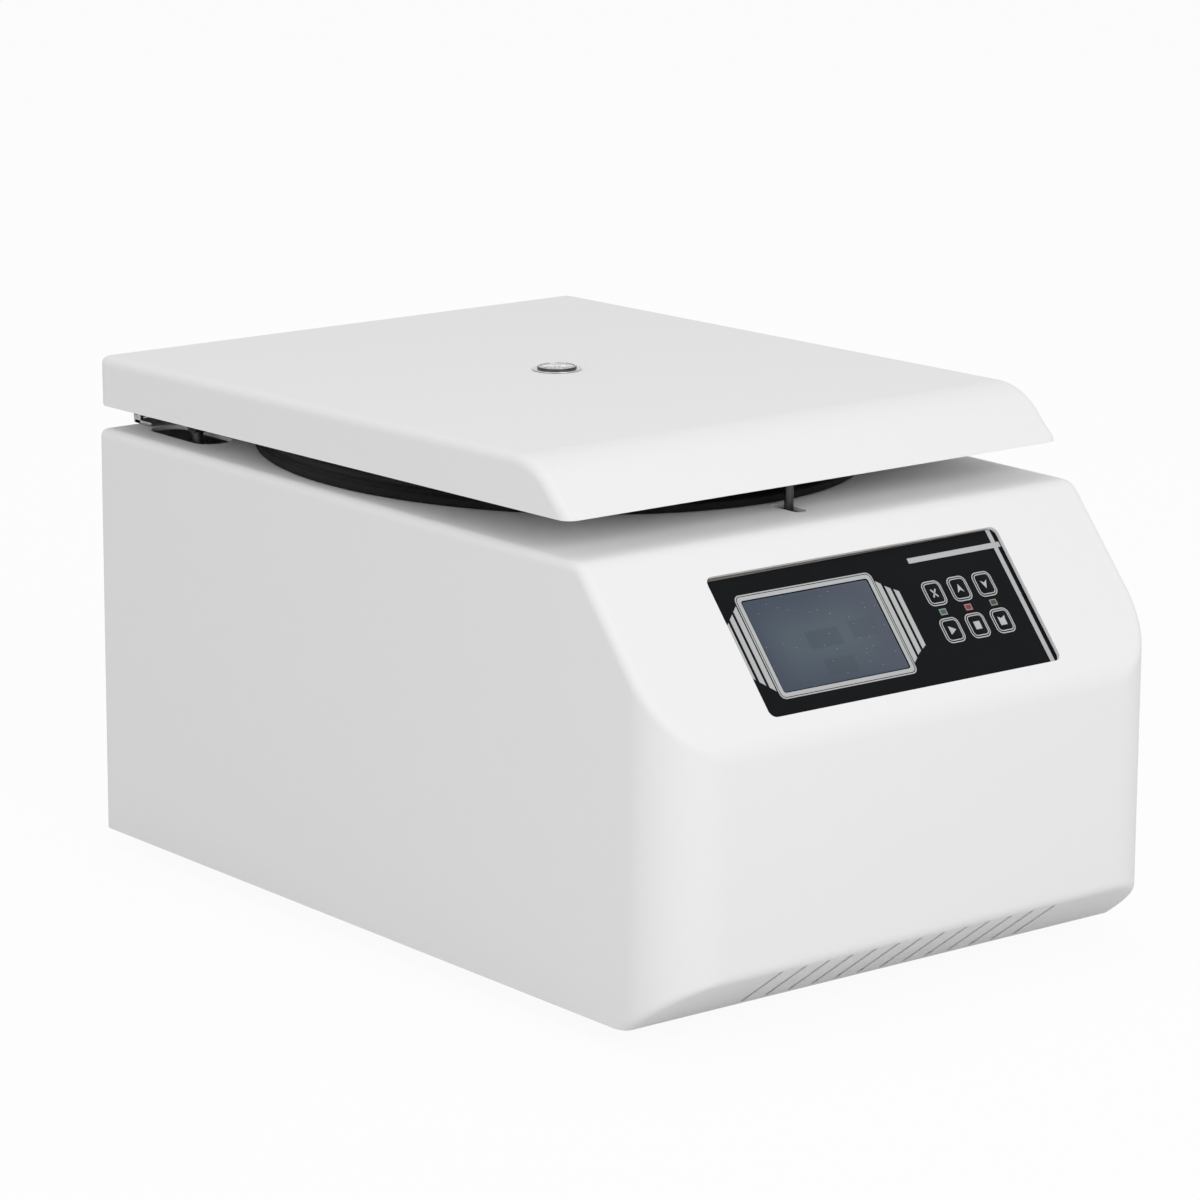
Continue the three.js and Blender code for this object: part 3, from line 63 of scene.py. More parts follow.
class Link:
    # A shader socket that can stand in a Python expression; each operator makes one Math node
    def __init__(self, tree, socket):
        self.tree, self.socket = tree, socket

    def twin(self, name):
        # Another output of the same node
        return Link(self.tree, self.socket.node.outputs[name])

    def maths(self, operation, *values):
        # The operation on the values in order
        return self.tree.node("ShaderNodeMath", {"operation": operation}, dict(enumerate(values)))

    def near(self, centre, half, soft):
        # One within half of the centre, none beyond, with a soft step between
        return self.tree.node("ShaderNodeMapRange", {"interpolation_type": "SMOOTHSTEP"}, {
            "Value": self.maths("ABSOLUTE", self - centre), "From Min": half - soft / 2,
            "From Max": half + soft / 2, "To Min": 1.0, "To Max": 0.0})

    def __add__(self, other):
        return self.maths("ADD", self, other)

    def __radd__(self, other):
        return self.maths("ADD", other, self)

    def __sub__(self, other):
        return self.maths("SUBTRACT", self, other)

    def __rsub__(self, other):
        return self.maths("SUBTRACT", other, self)

    def __mul__(self, other):
        return self.maths("MULTIPLY", self, other)

    def __rmul__(self, other):
        return self.maths("MULTIPLY", other, self)

    def __pow__(self, other):
        return self.maths("POWER", self, other)


class Tree:
    # A node tree: values go straight onto its sockets, links join them
    def __init__(self, nodeTree):
        self.nodeTree = nodeTree

    def set(self, socket, value):
        # A link joins, a colour gains an alpha of one, any other value goes in as it is
        if isinstance(value, Link):
            self.nodeTree.links.new(value.socket, socket)
        else:
            socket.default_value = (*value, 1) if socket.type == "RGBA" else value

    def node(self, kind, settings=None, inputs=None, output=0):
        # A node of a kind, with its settings by name and its sockets by name or number
        made = self.nodeTree.nodes.new(kind)
        for key, value in (settings or {}).items():
            setattr(made, key, value)
        for key, value in (inputs or {}).items():
            self.set(made.inputs[key], value)
        return Link(self, made.outputs[output]) if made.outputs else None


class Finish(Tree):
    # A material with one Principled shader
    def __init__(self, name, **constants):
        self.material = bpy.data.materials.new(name)
        self.material.use_nodes = True
        super().__init__(self.material.node_tree)
        self.shader = self.nodeTree.nodes["Principled BSDF"]
        self.vary(**constants)

    def vary(self, **values):
        # Values or links for the shader's sockets: baseColor goes to Base Color
        exceptions = {"Ior": "IOR", "Specular Level": "Specular IOR Level"}
        for name, value in values.items():
            words = "".join(" " + letter if letter.isupper() else letter for letter in name).title()
            self.set(self.shader.inputs[exceptions.get(words, words)], value)

    def place(self, scale=(1, 1, 1)):
        # Object coordinates, stretched along each axis
        coordinates = self.node("ShaderNodeTexCoord", output="Object")
        return self.node("ShaderNodeMapping", None, {"Vector": coordinates, "Scale": scale})

    def axes(self):
        # Object coordinates as three numbers
        x = self.node("ShaderNodeSeparateXYZ", None, {0: self.node("ShaderNodeTexCoord", output="Object")})
        return x, x.twin("Y"), x.twin("Z")

    def noise(self, scale, detail, roughness=0.5, stretch=(1, 1, 1), vector=None):
        # Noise in object coordinates, or along a vector
        return self.node("ShaderNodeTexNoise", None, {
            "Vector": vector or self.place(stretch), "Scale": scale, "Detail": detail, "Roughness": roughness})

    def blend(self, factor, first, second):
        # first x (1 - factor) + second x factor
        return self.node("ShaderNodeMix", {"data_type": "RGBA"}, {"Factor": factor, 6: first, 7: second}, 2)

    def grained(self, grain, clouds, colours, roughness, spread, strength, distance):
        # Broad clouds blend the two colours, the grain lifts the surface, roughness is its base + spread x grain
        self.vary(baseColor=self.blend(self.noise(clouds, 3), *colours), roughness=roughness + spread * grain)
        self.vary(normal=self.node("ShaderNodeBump", None, {
            "Height": grain, "Strength": strength, "Distance": distance}))
        return self


def paintFinish():
    # Satin powder coat: fine orange peel, faint clouding in its tone and gloss
    paint = Finish("whitePowderCoat", specularLevel=0.35)
    return paint.grained(paint.noise(620, 2), clouds=9, colours=((0.845, 0.846, 0.84), (0.87, 0.87, 0.862)),
                         roughness=0.4, spread=0.14, strength=0.14, distance=0.0004)


def metalFinish(name, colour, shade, clouds, roughness, strength, stretch=None):
    # Bare metal, its deep tone the shade x its colour. Brushed: noise pulled out along one axis by the stretch.
    # Turned: rings of noise that follow the height and the distance from the spin axis, root of x squared + y squared
    metal = Finish(name, metallic=1.0)
    if stretch:
        grain = metal.noise(1.0, 3, 0.6, stretch)
    else:
        rings = 2600
        x, y, z = metal.axes()
        y = y - (origin[1] + spinY) / 1000
        along = {0: (x * x + y * y) ** 0.5 * rings, 1: z * rings, 2: 0.0}
        grain = metal.noise(1.0, 3, 0.6, vector=metal.node("ShaderNodeCombineXYZ", None, along))
    colours = tuple(value * shade for value in colour), colour
    return metal.grained(grain, clouds, colours, roughness - 0.06, 0.16, strength, 0.0002)


def brushedFinish(name, colour, roughness, stretch):
    # Brushed metal with the usual shade, clouds and strength
    return metalFinish(name, colour, 0.82, 45, roughness, 0.1, stretch)


def zincFinish():
    # Zinc plate: flat crystals of slightly different tone and gloss
    zinc = Finish("zincPlate", metallic=1.0)
    crystals = zinc.node("ShaderNodeTexVoronoi", None, {"Vector": zinc.place(), "Scale": 260.0}, "Color")
    tone = zinc.node("ShaderNodeSeparateColor", None, {0: crystals})
    zinc.vary(baseColor=zinc.blend(tone, (0.34, 0.35, 0.37), (0.48, 0.49, 0.51)), roughness=0.34 + 0.16 * tone)
    return zinc


def softFinish(name, deep, pale, roughness, grain, strength, distance=0.0003, **constants):
    # Rubber, moulded plastic or enamel: a fine grain in the normal and a faint change of tone
    soft = Finish(name, **constants)
    return soft.grained(soft.noise(grain, 3, 0.6), 40, (deep, pale), roughness - 0.05, 0.1, strength, distance)


def glassFinish():
    # Liquid crystal behind a clear cover: grey-green amid blue-grey, three faint unlit blocks, specks of dust.
    # u runs to the right and s down the slope, in millimetres; a patch is the product of soft steps in u and s
    look = {
        "edge": (0.036, 0.05, 0.078), "amid": (0.058, 0.081, 0.103), "block": (0.03, 0.044, 0.064),
        "dust": (0.36, 0.39, 0.42), "amidPatch": (-88, -14, 56, 92, 34),
        "blocks": ((-61.5, -36, 67, 79, 2.2), (-27, -5.5, 65, 77, 2.2), (-57, -34, 87, 98, 2.2)),
    }
    glass = Finish("displayGlass", specularLevel=0.3, coatWeight=0.15, coatRoughness=0.08)
    u, y, z = (axis * 1000 - origin[i] for i, axis in enumerate(glass.axes()))
    s = (shell["slopeDepth"] - y) * math.cos(slopeAngle) + (shell["height"] - z) * math.sin(slopeAngle)

    def patch(u0, u1, s0, s1, soft):
        # One amid two stretches, by their middles and halves
        return u.near((u0 + u1) / 2, (u1 - u0) / 2, soft) * s.near((s0 + s1) / 2, (s1 - s0) / 2, soft)

    clouds = glass.noise(26, 3, 0.55)
    body = glass.blend(patch(*look["amidPatch"]) * (0.6 + 0.8 * clouds), look["edge"], look["amid"])
    for block in look["blocks"]:
        body = glass.blend(patch(*block) * 0.4, body, look["block"])
    flat = glass.node("ShaderNodeCombineXYZ", None, {0: u, 1: s, 2: 0.0})
    grains = glass.node("ShaderNodeTexVoronoi", {"voronoi_dimensions": "2D"}, {"Vector": flat, "Scale": 0.14})
    lottery = glass.node("ShaderNodeSeparateColor", None, {0: grains.twin("Color")})
    specks = grains.near(0.0, 0.03, 0.03) * lottery.near(1.0, 0.3, 0.2)
    glass.vary(baseColor=glass.blend(specks, body, look["dust"]), roughness=0.2 + 0.1 * clouds)
    return glass


def lensFinish():
    # Clear plastic: transmission with a breath of haze, roughness 0.02 + 0.04 x noise
    lens = Finish("clearLens", baseColor=(0.93, 0.95, 0.96), transmissionWeight=0.9, ior=1.49)
    lens.vary(roughness=0.02 + 0.04 * lens.noise(500, 2))
    return lens


def lampFinish(name, deep, pale):
    # Tinted plastic: noise blends two tones, roughness is 0.3 + 0.1 x noise
    lamp = Finish(name, specularLevel=0.35)
    glow = lamp.noise(700, 2)
    lamp.vary(baseColor=lamp.blend(glow, deep, pale), roughness=0.3 + 0.1 * glow)
    return lamp


finishes = {
    "white_paint": paintFinish(),
    "stainless": metalFinish("stainlessTurned", (0.52, 0.53, 0.54), 0.86, 30, 0.24, 0.12),
    "steel_sheet": brushedFinish("steelBrushed", (0.29, 0.295, 0.305), 0.32, (60, 1500, 1500)),
    "zinc": zincFinish(),
    "black_rubber": softFinish("blackRubber", (0.007, 0.007, 0.0075), (0.012, 0.012, 0.0125), 0.66, 900, 0.25,
                               specularLevel=0.15),
    "black_plastic": softFinish("blackPlastic", (0.018, 0.019, 0.021), (0.026, 0.027, 0.03), 0.42, 1500, 0.2),
    "overlay_film": softFinish("overlayFilm", (0.0038, 0.0044, 0.0055), (0.0052, 0.006, 0.0075), 0.4, 1100, 0.03,
                               0.0001, specularLevel=0.05),
    "display_glass": glassFinish(),
    "clear_lens": lensFinish(),
    "cast_aluminium": softFinish("castAluminium", (0.46, 0.47, 0.49), (0.56, 0.57, 0.59), 0.4, 700, 0.14,
                                 metallic=0.9),
    "motor_paint": softFinish("darkEnamel", (0.028, 0.03, 0.034), (0.04, 0.042, 0.047), 0.34, 800, 0.08),
    "circuit_green": softFinish("solderMask", (0.01, 0.075, 0.035), (0.016, 0.1, 0.05), 0.4, 500, 0.1),
    "lamp_green": lampFinish("lampGreen", (0.045, 0.075, 0.052), (0.065, 0.1, 0.072)),
    "lamp_red": lampFinish("lampRed", (0.14, 0.02, 0.02), (0.19, 0.03, 0.03)),
    "lamp_amber": lampFinish("lampAmber", (0.038, 0.042, 0.028), (0.052, 0.057, 0.042)),
    # Inks: second finishes on a piece
    "silver": softFinish("silverInk", (0.39, 0.395, 0.4), (0.46, 0.465, 0.47), 0.46, 2400, 0.05, 0.0001,
                         metallic=0.15),
    "border_green": lampFinish("lampBorderGreen", (0.2, 0.25, 0.22), (0.25, 0.3, 0.27)),
    "border_red": lampFinish("lampBorderRed", (0.27, 0.16, 0.17), (0.33, 0.21, 0.22)),
    "border_amber": lampFinish("lampBorderAmber", (0.19, 0.195, 0.175), (0.24, 0.245, 0.22)),
    "film_edge": softFinish("greyFilmEdge", (0.09, 0.08, 0.072), (0.16, 0.145, 0.13), 0.5, 900, 0.04, 0.0001),
    # Dark oxide steel; on the sight glass's collar it is painted shade
    "oxide_and_painted_shade": brushedFinish("oxideSteelAndPaintedShade", (0.085, 0.085, 0.09), 0.36, (1500, 1500, 60)),
    "brass": brushedFinish("brassBlades", (0.62, 0.55, 0.4), 0.3, (1500, 60, 1500)),
}
print("finishes ready")


class Shape:
    # Points in case millimetres, with faces grouped by their number of corners and the number of their ink
    def __init__(self, points, *faces, ink=0):
        self.points = np.asarray(points, float)
        self.parts = [(np.asarray(f, int), ink) for f in faces if len(f)]

    def moved(self, matrix):
        # The matrix's turn times each point, plus its shift
        m = np.array(matrix)
        self.points = self.points @ m[:3, :3].T + m[:3, 3]
        return self


def joined(*shapes):
    # Several shapes in one, each with its faces counted on from the last
    whole = Shape(np.concatenate([s.points for s in shapes]))
    start = 0
    for s in shapes:
        whole.parts += [(faces + start, ink) for faces, ink in s.parts]
        start += len(s.points)
    return whole


def meshFrom(name, shape):
    # Points as (case millimetres + origin) / 1000; a face begins at the sum of the sizes before it
    mesh = bpy.data.meshes.new(name)
    loops = np.concatenate([faces.ravel() for faces, _ in shape.parts])
    sizes = np.concatenate([np.full(len(faces), faces.shape[1]) for faces, _ in shape.parts])
    inks = np.concatenate([np.full(len(faces), ink) for faces, ink in shape.parts])
    mesh.vertices.add(len(shape.points))
    mesh.vertices.foreach_set("co", ((shape.points + origin) / 1000).astype(np.float32).ravel())
    mesh.loops.add(len(loops))
    mesh.loops.foreach_set("vertex_index", loops.astype(np.int32))
    mesh.polygons.add(len(sizes))
    mesh.polygons.foreach_set("loop_start", (np.cumsum(sizes) - sizes).astype(np.int32))
    mesh.polygons.foreach_set("material_index", inks.astype(np.int32))
    mesh.update(calc_edges=True)
    mesh.validate()
    return mesh


def placed(name, data):
    # A new object in the scene
    made = bpy.data.objects.new(name, data)
    bpy.context.scene.collection.objects.link(made)
    return made


def addPiece(name, shape, body, slot, node, inks=(), sharp=38):
    # A finished piece in place of a node: its mesh holds its place, edges steeper than the sharp angle stay crisp
    mesh = shape if isinstance(shape, bpy.types.Mesh) else meshFrom(name, shape)
    mesh.polygons.foreach_set("use_smooth", np.ones(len(mesh.polygons), bool))
    mesh.set_sharp_from_angle(angle=math.radians(sharp))
    for finish in (slot, *inks):
        mesh.materials.append(finishes[finish].material)
    piece = placed(name, mesh)
    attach(piece, body)
    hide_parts(node)


upright = Matrix.Identity(4)


def turn(degrees, axis):
    # A turn about an axis through the origin
    return Matrix.Rotation(math.radians(degrees), 4, axis)


def frameOf(xAxis, yAxis, zAxis, place=(0, 0, 0)):
    # The matrix whose columns are three axes and a place
    return Matrix.Translation(place) @ Matrix((xAxis, yAxis, zAxis)).transposed().to_4x4()


def at(x, y, z, matrix=upright):
    # The matrix carried on to a place
    return Matrix.Translation((x, y, z)) @ matrix


alongX = frameOf((0, 1, 0), (0, 0, 1), (1, 0, 0))
alongY = frameOf((1, 0, 0), (0, 0, 1), (0, -1, 0))
downward = turn(180, "X")
rearward = turn(-90, "X")
slopeFrame = frameOf(
    (1, 0, 0), (0, math.cos(slopeAngle), math.sin(slopeAngle)), (0, -math.sin(slopeAngle), math.cos(slopeAngle)),
    (0, shell["slopeDepth"], shell["height"]))
# The lid's turn about its hinge: there, turn and back
lidTurn = at(0, hingeY, hingeZ, turn(-ajarDegrees, "X")) @ at(0, -hingeY, -hingeZ)
onSpin = at(0, spinY, 0)


def filleted(corners, steps, closed=True):
    # An outline through corners (a, b, radius): each corner gives way to an arc that meets both sides smoothly
    rows = []
    count = len(corners)
    for i, corner in enumerate(corners):
        point, radius = np.array(corner[:2], float), (corner[2] if len(corner) > 2 else 0)
        atEnd = not closed and i in (0, count - 1)
        if radius <= 0 or atEnd:
            rows.append(point[None])
            continue
        back = np.array(corners[i - 1][:2], float) - point
        ahead = np.array(corners[(i + 1) % count][:2], float) - point
        back, ahead = back / np.linalg.norm(back), ahead / np.linalg.norm(ahead)
        half = math.acos(np.clip(back @ ahead, -1, 1)) / 2
        inward = (back + ahead) / np.linalg.norm(back + ahead)
        centre = point + inward * radius / math.sin(half)
        first = point + back * radius / math.tan(half) - centre
        last = point + ahead * radius / math.tan(half) - centre
        sweep = math.atan2(first[0] * last[1] - first[1] * last[0], first @ last)
        angles = np.linspace(0, sweep, max(2, steps + 1))
        rows.append(centre + np.stack([
            first[0] * np.cos(angles) - first[1] * np.sin(angles),
            first[0] * np.sin(angles) + first[1] * np.cos(angles)], 1))
    outline = np.concatenate(rows)
    keep = np.linalg.norm(outline - np.roll(outline, 1, 0), axis=1) > 1e-6
    return outline[keep] if closed else outline


def boxOutline(x0, x1, y0, y1, radius=0.0, steps=6):
    # A rectangle with rounded corners, anticlockwise from its low corner
    return filleted([(x0, y0, radius), (x1, y0, radius), (x1, y1, radius), (x0, y1, radius)], steps)


def boxAround(x, y, halfX, halfY, radius=0.0, steps=6):
    # The same by its middle and half sizes
    return boxOutline(x - halfX, x + halfX, y - halfY, y + halfY, radius, steps)


def circle(x, y, radius, count, clockwise=False):
    # Middle plus radius x (cosine, sine) at even angles
    angles = np.arange(count) * (2 * math.pi / count) * (-1 if clockwise else 1)
    return np.stack([x + radius * np.cos(angles), y + radius * np.sin(angles)], 1)


def shifted(outline, inwards):
    # A closed outline moved to its left by a set amount, with mitred corners
    ahead = np.roll(outline, -1, 0) - outline
    ahead /= np.linalg.norm(ahead, axis=1)[:, None]
    left = np.stack([-ahead[:, 1], ahead[:, 0]], 1)
    before = np.roll(left, 1, 0)
    mitre = left + before
    mitre /= np.maximum((mitre * left).sum(1), 0.2)[:, None]
    return outline + mitre * inwards


def band(low, high, count):
    # Quads between two closed rings of count points that begin at the numbers low and high
    index = np.arange(count)
    after = (index + 1) % count
    return np.stack([low + index, low + after, high + after, high + index], 1)


def cone(tip, ring, count):
    # Triangles from a closed ring to its tip
    return np.column_stack([band(ring, ring, count)[:, :2], np.full(count, tip)])


def plate(outer, low, high, holes=(), edge=0.4, steps=3, matrix=upright, ink=0, backEdge=None):
    # A slab from low to high: the outline runs anticlockwise, holes clockwise, and a quarter arc eases each edge
    layers = []
    for size, level, sign in ((edge if backEdge is None else backEdge, low, 1), (edge, high, -1)):
        turns = np.linspace(math.pi / 2, 0, steps + 1) if size else np.zeros(1)
        layers += [(size * (1 - math.cos(t)), level + sign * size * (1 - math.sin(t))) for t in turns][::sign]
    points, faces, caps, start = [], [], ([], []), 0
    for loop in (outer, *holes):
        n = len(loop)
        rings = [np.column_stack([shifted(np.asarray(loop, float), inset), np.full(n, level)])
                 for inset, level in layers]
        starts = start + np.arange(len(layers)) * n
        points += rings
        faces += [band(a, b, n) for a, b in zip(starts, starts[1:])]
        caps[0].append((rings[0], starts[0]))
        caps[1].append((rings[-1], starts[-1]))
        start += n * len(layers)
    points = np.concatenate(points)
    triangles = []
    for side, cap in enumerate(caps):
        numbers = np.concatenate([first + np.arange(len(ring)) for ring, first in cap])
        made = numbers[np.array(tessellate_polygon([[Vector(p) for p in ring] for ring, _ in cap]), int)]
        # Slivers go; the lower cap faces down (area negative), the upper one up
        a, b, c = (points[made[:, i]] for i in range(3))
        area = (b[:, 0] - a[:, 0]) * (c[:, 1] - a[:, 1]) - (b[:, 1] - a[:, 1]) * (c[:, 0] - a[:, 0])
        made, area = made[np.abs(area) > 1e-12], area[np.abs(area) > 1e-12]
        wrong = area < 0 if side else area > 0
        made[wrong] = made[wrong][:, ::-1]
        triangles.append(made)
    return Shape(points, np.concatenate(faces), np.concatenate(triangles), ink=ink).moved(matrix)


def turned(profile, count, matrix=upright, ink=0):
    # A profile of (radius, height) carried round an axis; it closes on itself, or ends on the axis at both ends
    profile = np.asarray(profile, float)
    onAxis = profile[:, 0] < 1e-9
    angles = np.arange(count) * 2 * math.pi / count
    points = np.empty((len(profile), count, 3))
    points[:, :, :2] = profile[:, None, :1] * np.stack([np.cos(angles), np.sin(angles)], 1)[None]
    points[:, :, 2] = profile[:, 1:2]
    quads, triangles = [], []
    for j in range(len(profile) - int(onAxis[0] and onAxis[-1])):
        k = (j + 1) % len(profile)
        a, b = j * count, k * count
        if onAxis[j] and not onAxis[k]:
            triangles.append(cone(a, b, count)[:, ::-1])
        elif onAxis[k] and not onAxis[j]:
            triangles.append(cone(b, a, count))
        elif not onAxis[j]:
            quads.append(band(a, b, count))
    shape = Shape(points.reshape(-1, 3), *[np.concatenate(group) for group in (quads, triangles) if group], ink=ink)
    ahead = np.roll(profile, -1, 0)
    if np.sum(profile[:, 0] * ahead[:, 1] - ahead[:, 0] * profile[:, 1]) < 0:
        shape.parts = [(faces[:, ::-1], part) for faces, part in shape.parts]
    return shape.moved(matrix)


def lathe(corners, steps, count, matrix=upright, ink=0):
    # A turned shape from corners (radius, height, fillet); the profile closes unless both ends lie on the axis
    return turned(filleted(corners, steps, corners[0][0] + corners[-1][0] > 0), count, matrix, ink)


def bar(radius, start, end, matrix=upright, edge=0.3, count=32, ink=0):
    # A round bar along its own z axis with eased ends
    return lathe([(0, start), (radius, start, edge), (radius, end, edge), (0, end)], 3, count, matrix, ink)


def lofted(sections, matrix):
    # Closed sections of equal count joined in order, with a cone over each end
    sections = np.asarray(sections, float)
    count, n = sections.shape[:2]
    faces = [band(k * n, (k + 1) * n, n) for k in range(count - 1)]
    points = np.concatenate([sections.reshape(-1, 3), sections[0].mean(0)[None], sections[-1].mean(0)[None]])
    ends = [cone(count * n, 0, n)[:, ::-1], cone(count * n + 1, (count - 1) * n, n)]
    return Shape(points, np.concatenate(faces), np.concatenate(ends)).moved(matrix)


def screwHead(radius, height, matrix, ink=0):
    # A domed screw head; its socket's circle becomes a hexagon: radius x cos 30 / cos of the angle off a face's middle
    socket, floor = radius * 0.45, height * 0.35
    head = lathe([(0, 0), (radius, 0), (radius, height, height * 0.7), (socket, height), (socket, floor),
                  (0, floor)], 5, 48, ink=ink)
    bearing = np.arctan2(head.points[:, 1], head.points[:, 0])
    inSocket = np.abs(np.hypot(head.points[:, 0], head.points[:, 1]) - socket) < 1e-6
    facet = math.cos(math.pi / 6) / np.cos((bearing % (math.pi / 3)) - math.pi / 6)
    head.points[inSocket, :2] *= facet[inSocket, None]
    return head.moved(matrix)


def outlineDistance(a, b, corners):
    # Distance to a convex rounded outline: the farthest side counts, and in a corner's wedge its arc does
    points = np.stack([a, b], 1)
    spots = np.array([c[:2] for c in corners], float)
    along = np.roll(spots, -1, 0) - spots
    along /= np.linalg.norm(along, axis=1)[:, None]
    normal = np.stack([along[:, 1], -along[:, 0]], 1)
    offsets = points @ normal.T - (spots * normal).sum(1)
    best = offsets.argmax(1)
    value, direction = offsets[np.arange(len(points)), best], normal[best]
    for i, (_, _, radius) in enumerate(corners):
        if radius <= 0:
            continue
        before, after = normal[i - 1], normal[i]
        bisector = (before + after) / np.linalg.norm(before + after)
        out = points - (spots[i] - bisector * radius / (bisector @ after))
        past = before[0] * out[:, 1] - before[1] * out[:, 0] > 0
        wedge = past & (out[:, 0] * after[1] - out[:, 1] * after[0] > 0)
        length = np.maximum(np.linalg.norm(out, axis=1), 1e-9)
        value = np.where(wedge, length - radius, value)
        direction = np.where(wedge[:, None], out / length[:, None], direction)
    return value, direction


def formDistance(points, form):
    # Side profile and plan meet in an edge of even radius, as if a ball had rolled along it
    x, y, z = points.T
    side, sideWay = outlineDistance(y, z, form["side"])
    plan, planWay = outlineDistance(x, y, form["plan"])
    cosine = sideWay[:, 0] * planWay[:, 1]
    r = form["edge"]
    a, b = side + r, plan + r
    room = np.maximum(1 - cosine ** 2, 1e-9)
    p, q = (a - cosine * b) / room, (b - cosine * a) / room
    rounded = np.sqrt(np.maximum(p * a + q * b, 0)) - r
    return np.where((p > 0) & (q > 0), rounded, np.maximum(side, plan))


def lines(*stretches):
    # Grid lines: each stretch runs from start to end in so many steps
    return np.unique(np.round(np.concatenate([np.linspace(a, b, n + 1) for a, b, n in stretches]), 6))


def shellSurface(form, depth, xs, ys, zs):
    # Points of an open box's surface slide along rays from its core until they meet the form at a depth
    grids = []
    for fixed, end, order in ((2, -1, 1), (1, 0, 1), (1, -1, -1), (0, 0, -1), (0, -1, 1)):
        free = [values for axis, values in enumerate((xs, ys, zs)) if axis != fixed]
        grid = np.stack(np.meshgrid(*free, indexing="ij"), -1)
        grids.append(np.insert(grid, fixed, (xs, ys, zs)[fixed][end], -1)[::order])
    allPoints = np.concatenate([g.reshape(-1, 3) for g in grids])
    unique, numbers = np.unique(np.round(allPoints, 5), axis=0, return_inverse=True)
    faces, start = [], 0
    for g in grids:
        index = start + np.arange(g[..., 0].size).reshape(g.shape[:2])
        faces.append(np.stack([index[:-1, :-1], index[1:, :-1], index[1:, 1:], index[:-1, 1:]], -1).reshape(-1, 4))
        start += index.size
    faces = numbers.ravel()[np.concatenate(faces)]
    bottom = unique[:, 2] <= zs[0] + 1e-6
    core = np.clip(unique, *[np.array(corner, float) for corner in form["core"]])
    core[:, 2] = np.where(bottom, unique[:, 2], core[:, 2])
    low, high = np.zeros(len(unique)), np.full(len(unique), 1.6)
    # Each round halves the stretch of the ray in which the surface lies
    for _ in range(40):
        middle = (low + high) / 2
        inside = formDistance(core + (unique - core) * middle[:, None], form) < -depth
        low, high = np.where(inside, middle, low), np.where(inside, high, middle)
    return core + (unique - core) * low[:, None], faces, bottom


def sheetShell(form, wall, xs, ys, zs):
    # Outer and inner faces on one grid, joined along the open lower edge
    outer, faces, bottom = shellSurface(form, 0.0, xs, ys, zs)
    inner = shellSurface(form, wall, xs, ys, zs)[0]
    count = len(outer)
    edges = np.concatenate([faces[:, [i, (i + 1) % 4]] for i in range(4)])
    rim = edges[bottom[edges].all(1)]
    joint = np.column_stack([rim[:, ::-1], rim + count])
    return Shape(np.concatenate([outer, inner]), faces, faces[:, ::-1] + count, joint)


def cutShell(name, shape, cutters):
    # The shell minus every cutter, by one Boolean step each
    body = placed(name, meshFrom(name, shape))
    for i, cutter in enumerate(cutters):
        step = body.modifiers.new("cut", "BOOLEAN")
        step.object = placed(f"cutter{i}", meshFrom(f"cutter{i}", cutter))
        step.operation, step.solver = "DIFFERENCE", "MANIFOLD"
    bpy.context.view_layer.update()
    made = bpy.data.meshes.new_from_object(body.evaluated_get(bpy.context.evaluated_depsgraph_get()))
    for step in body.modifiers:
        bpy.data.objects.remove(step.object)
    bpy.data.objects.remove(body)
    made.name = name
    return made


def planOf(half, front, rear, frontCorner, rearCorner):
    # A form's plan, anticlockwise from the front left: (x, y, corner radius)
    return [(-half, front, frontCorner), (half, front, frontCorner), (half, rear, rearCorner),
            (-half, rear, rearCorner)]


def louvreCutters():
    # Round-ended slots straight through the undercut, from just below its upper bend; a shallow step at each
    # lower end catches the light
    louvre = {"count": 13, "pitch": 18.5, "width": 3, "length": 42, "fromBend": 4.6, "middle": -0.5,
              "corner": 1.2, "step": 4.4, "stepDepth": 1.9, "overlap": 3, "through": 7, "beyond": 7.5}
    angle = math.atan2(shell["chamferHeight"], shell["chamferDepth"])
    matrix = frameOf((1, 0, 0), (0, math.cos(angle), -math.sin(angle)), (0, -math.sin(angle), -math.cos(angle)),
                     (0, 0, shell["chamferHeight"]))
    cutters = []
    for i in range(louvre["count"]):
        x = (i - (louvre["count"] - 1) / 2) * louvre["pitch"] + louvre["middle"]
        end = louvre["fromBend"] + louvre["length"]
        for start, stop, low, high in (
                (louvre["fromBend"], end, -louvre["through"], louvre["through"]),
                (end - louvre["overlap"], end + louvre["step"], -louvre["stepDepth"], louvre["beyond"])):
            outline = boxOutline(x - louvre["width"] / 2, x + louvre["width"] / 2, start, stop, louvre["corner"])
            cutters.append(plate(outline, low, high, edge=0, matrix=matrix))
    return cutters


def slopeOutline(field, grow=0.0, radius=0.0):
    # A field on the slope (middle, width, start and length down from the top bend) grown by some, as an outline
    middle, width, start, length = field
    return boxOutline(middle - width / 2 - grow, middle + width / 2 + grow, -start - length - grow, -start + grow,
                      radius)


panel = {"field": (0.6, 234.4, 22.2, 96), "border": 3, "corner": 5, "thickness": 2}


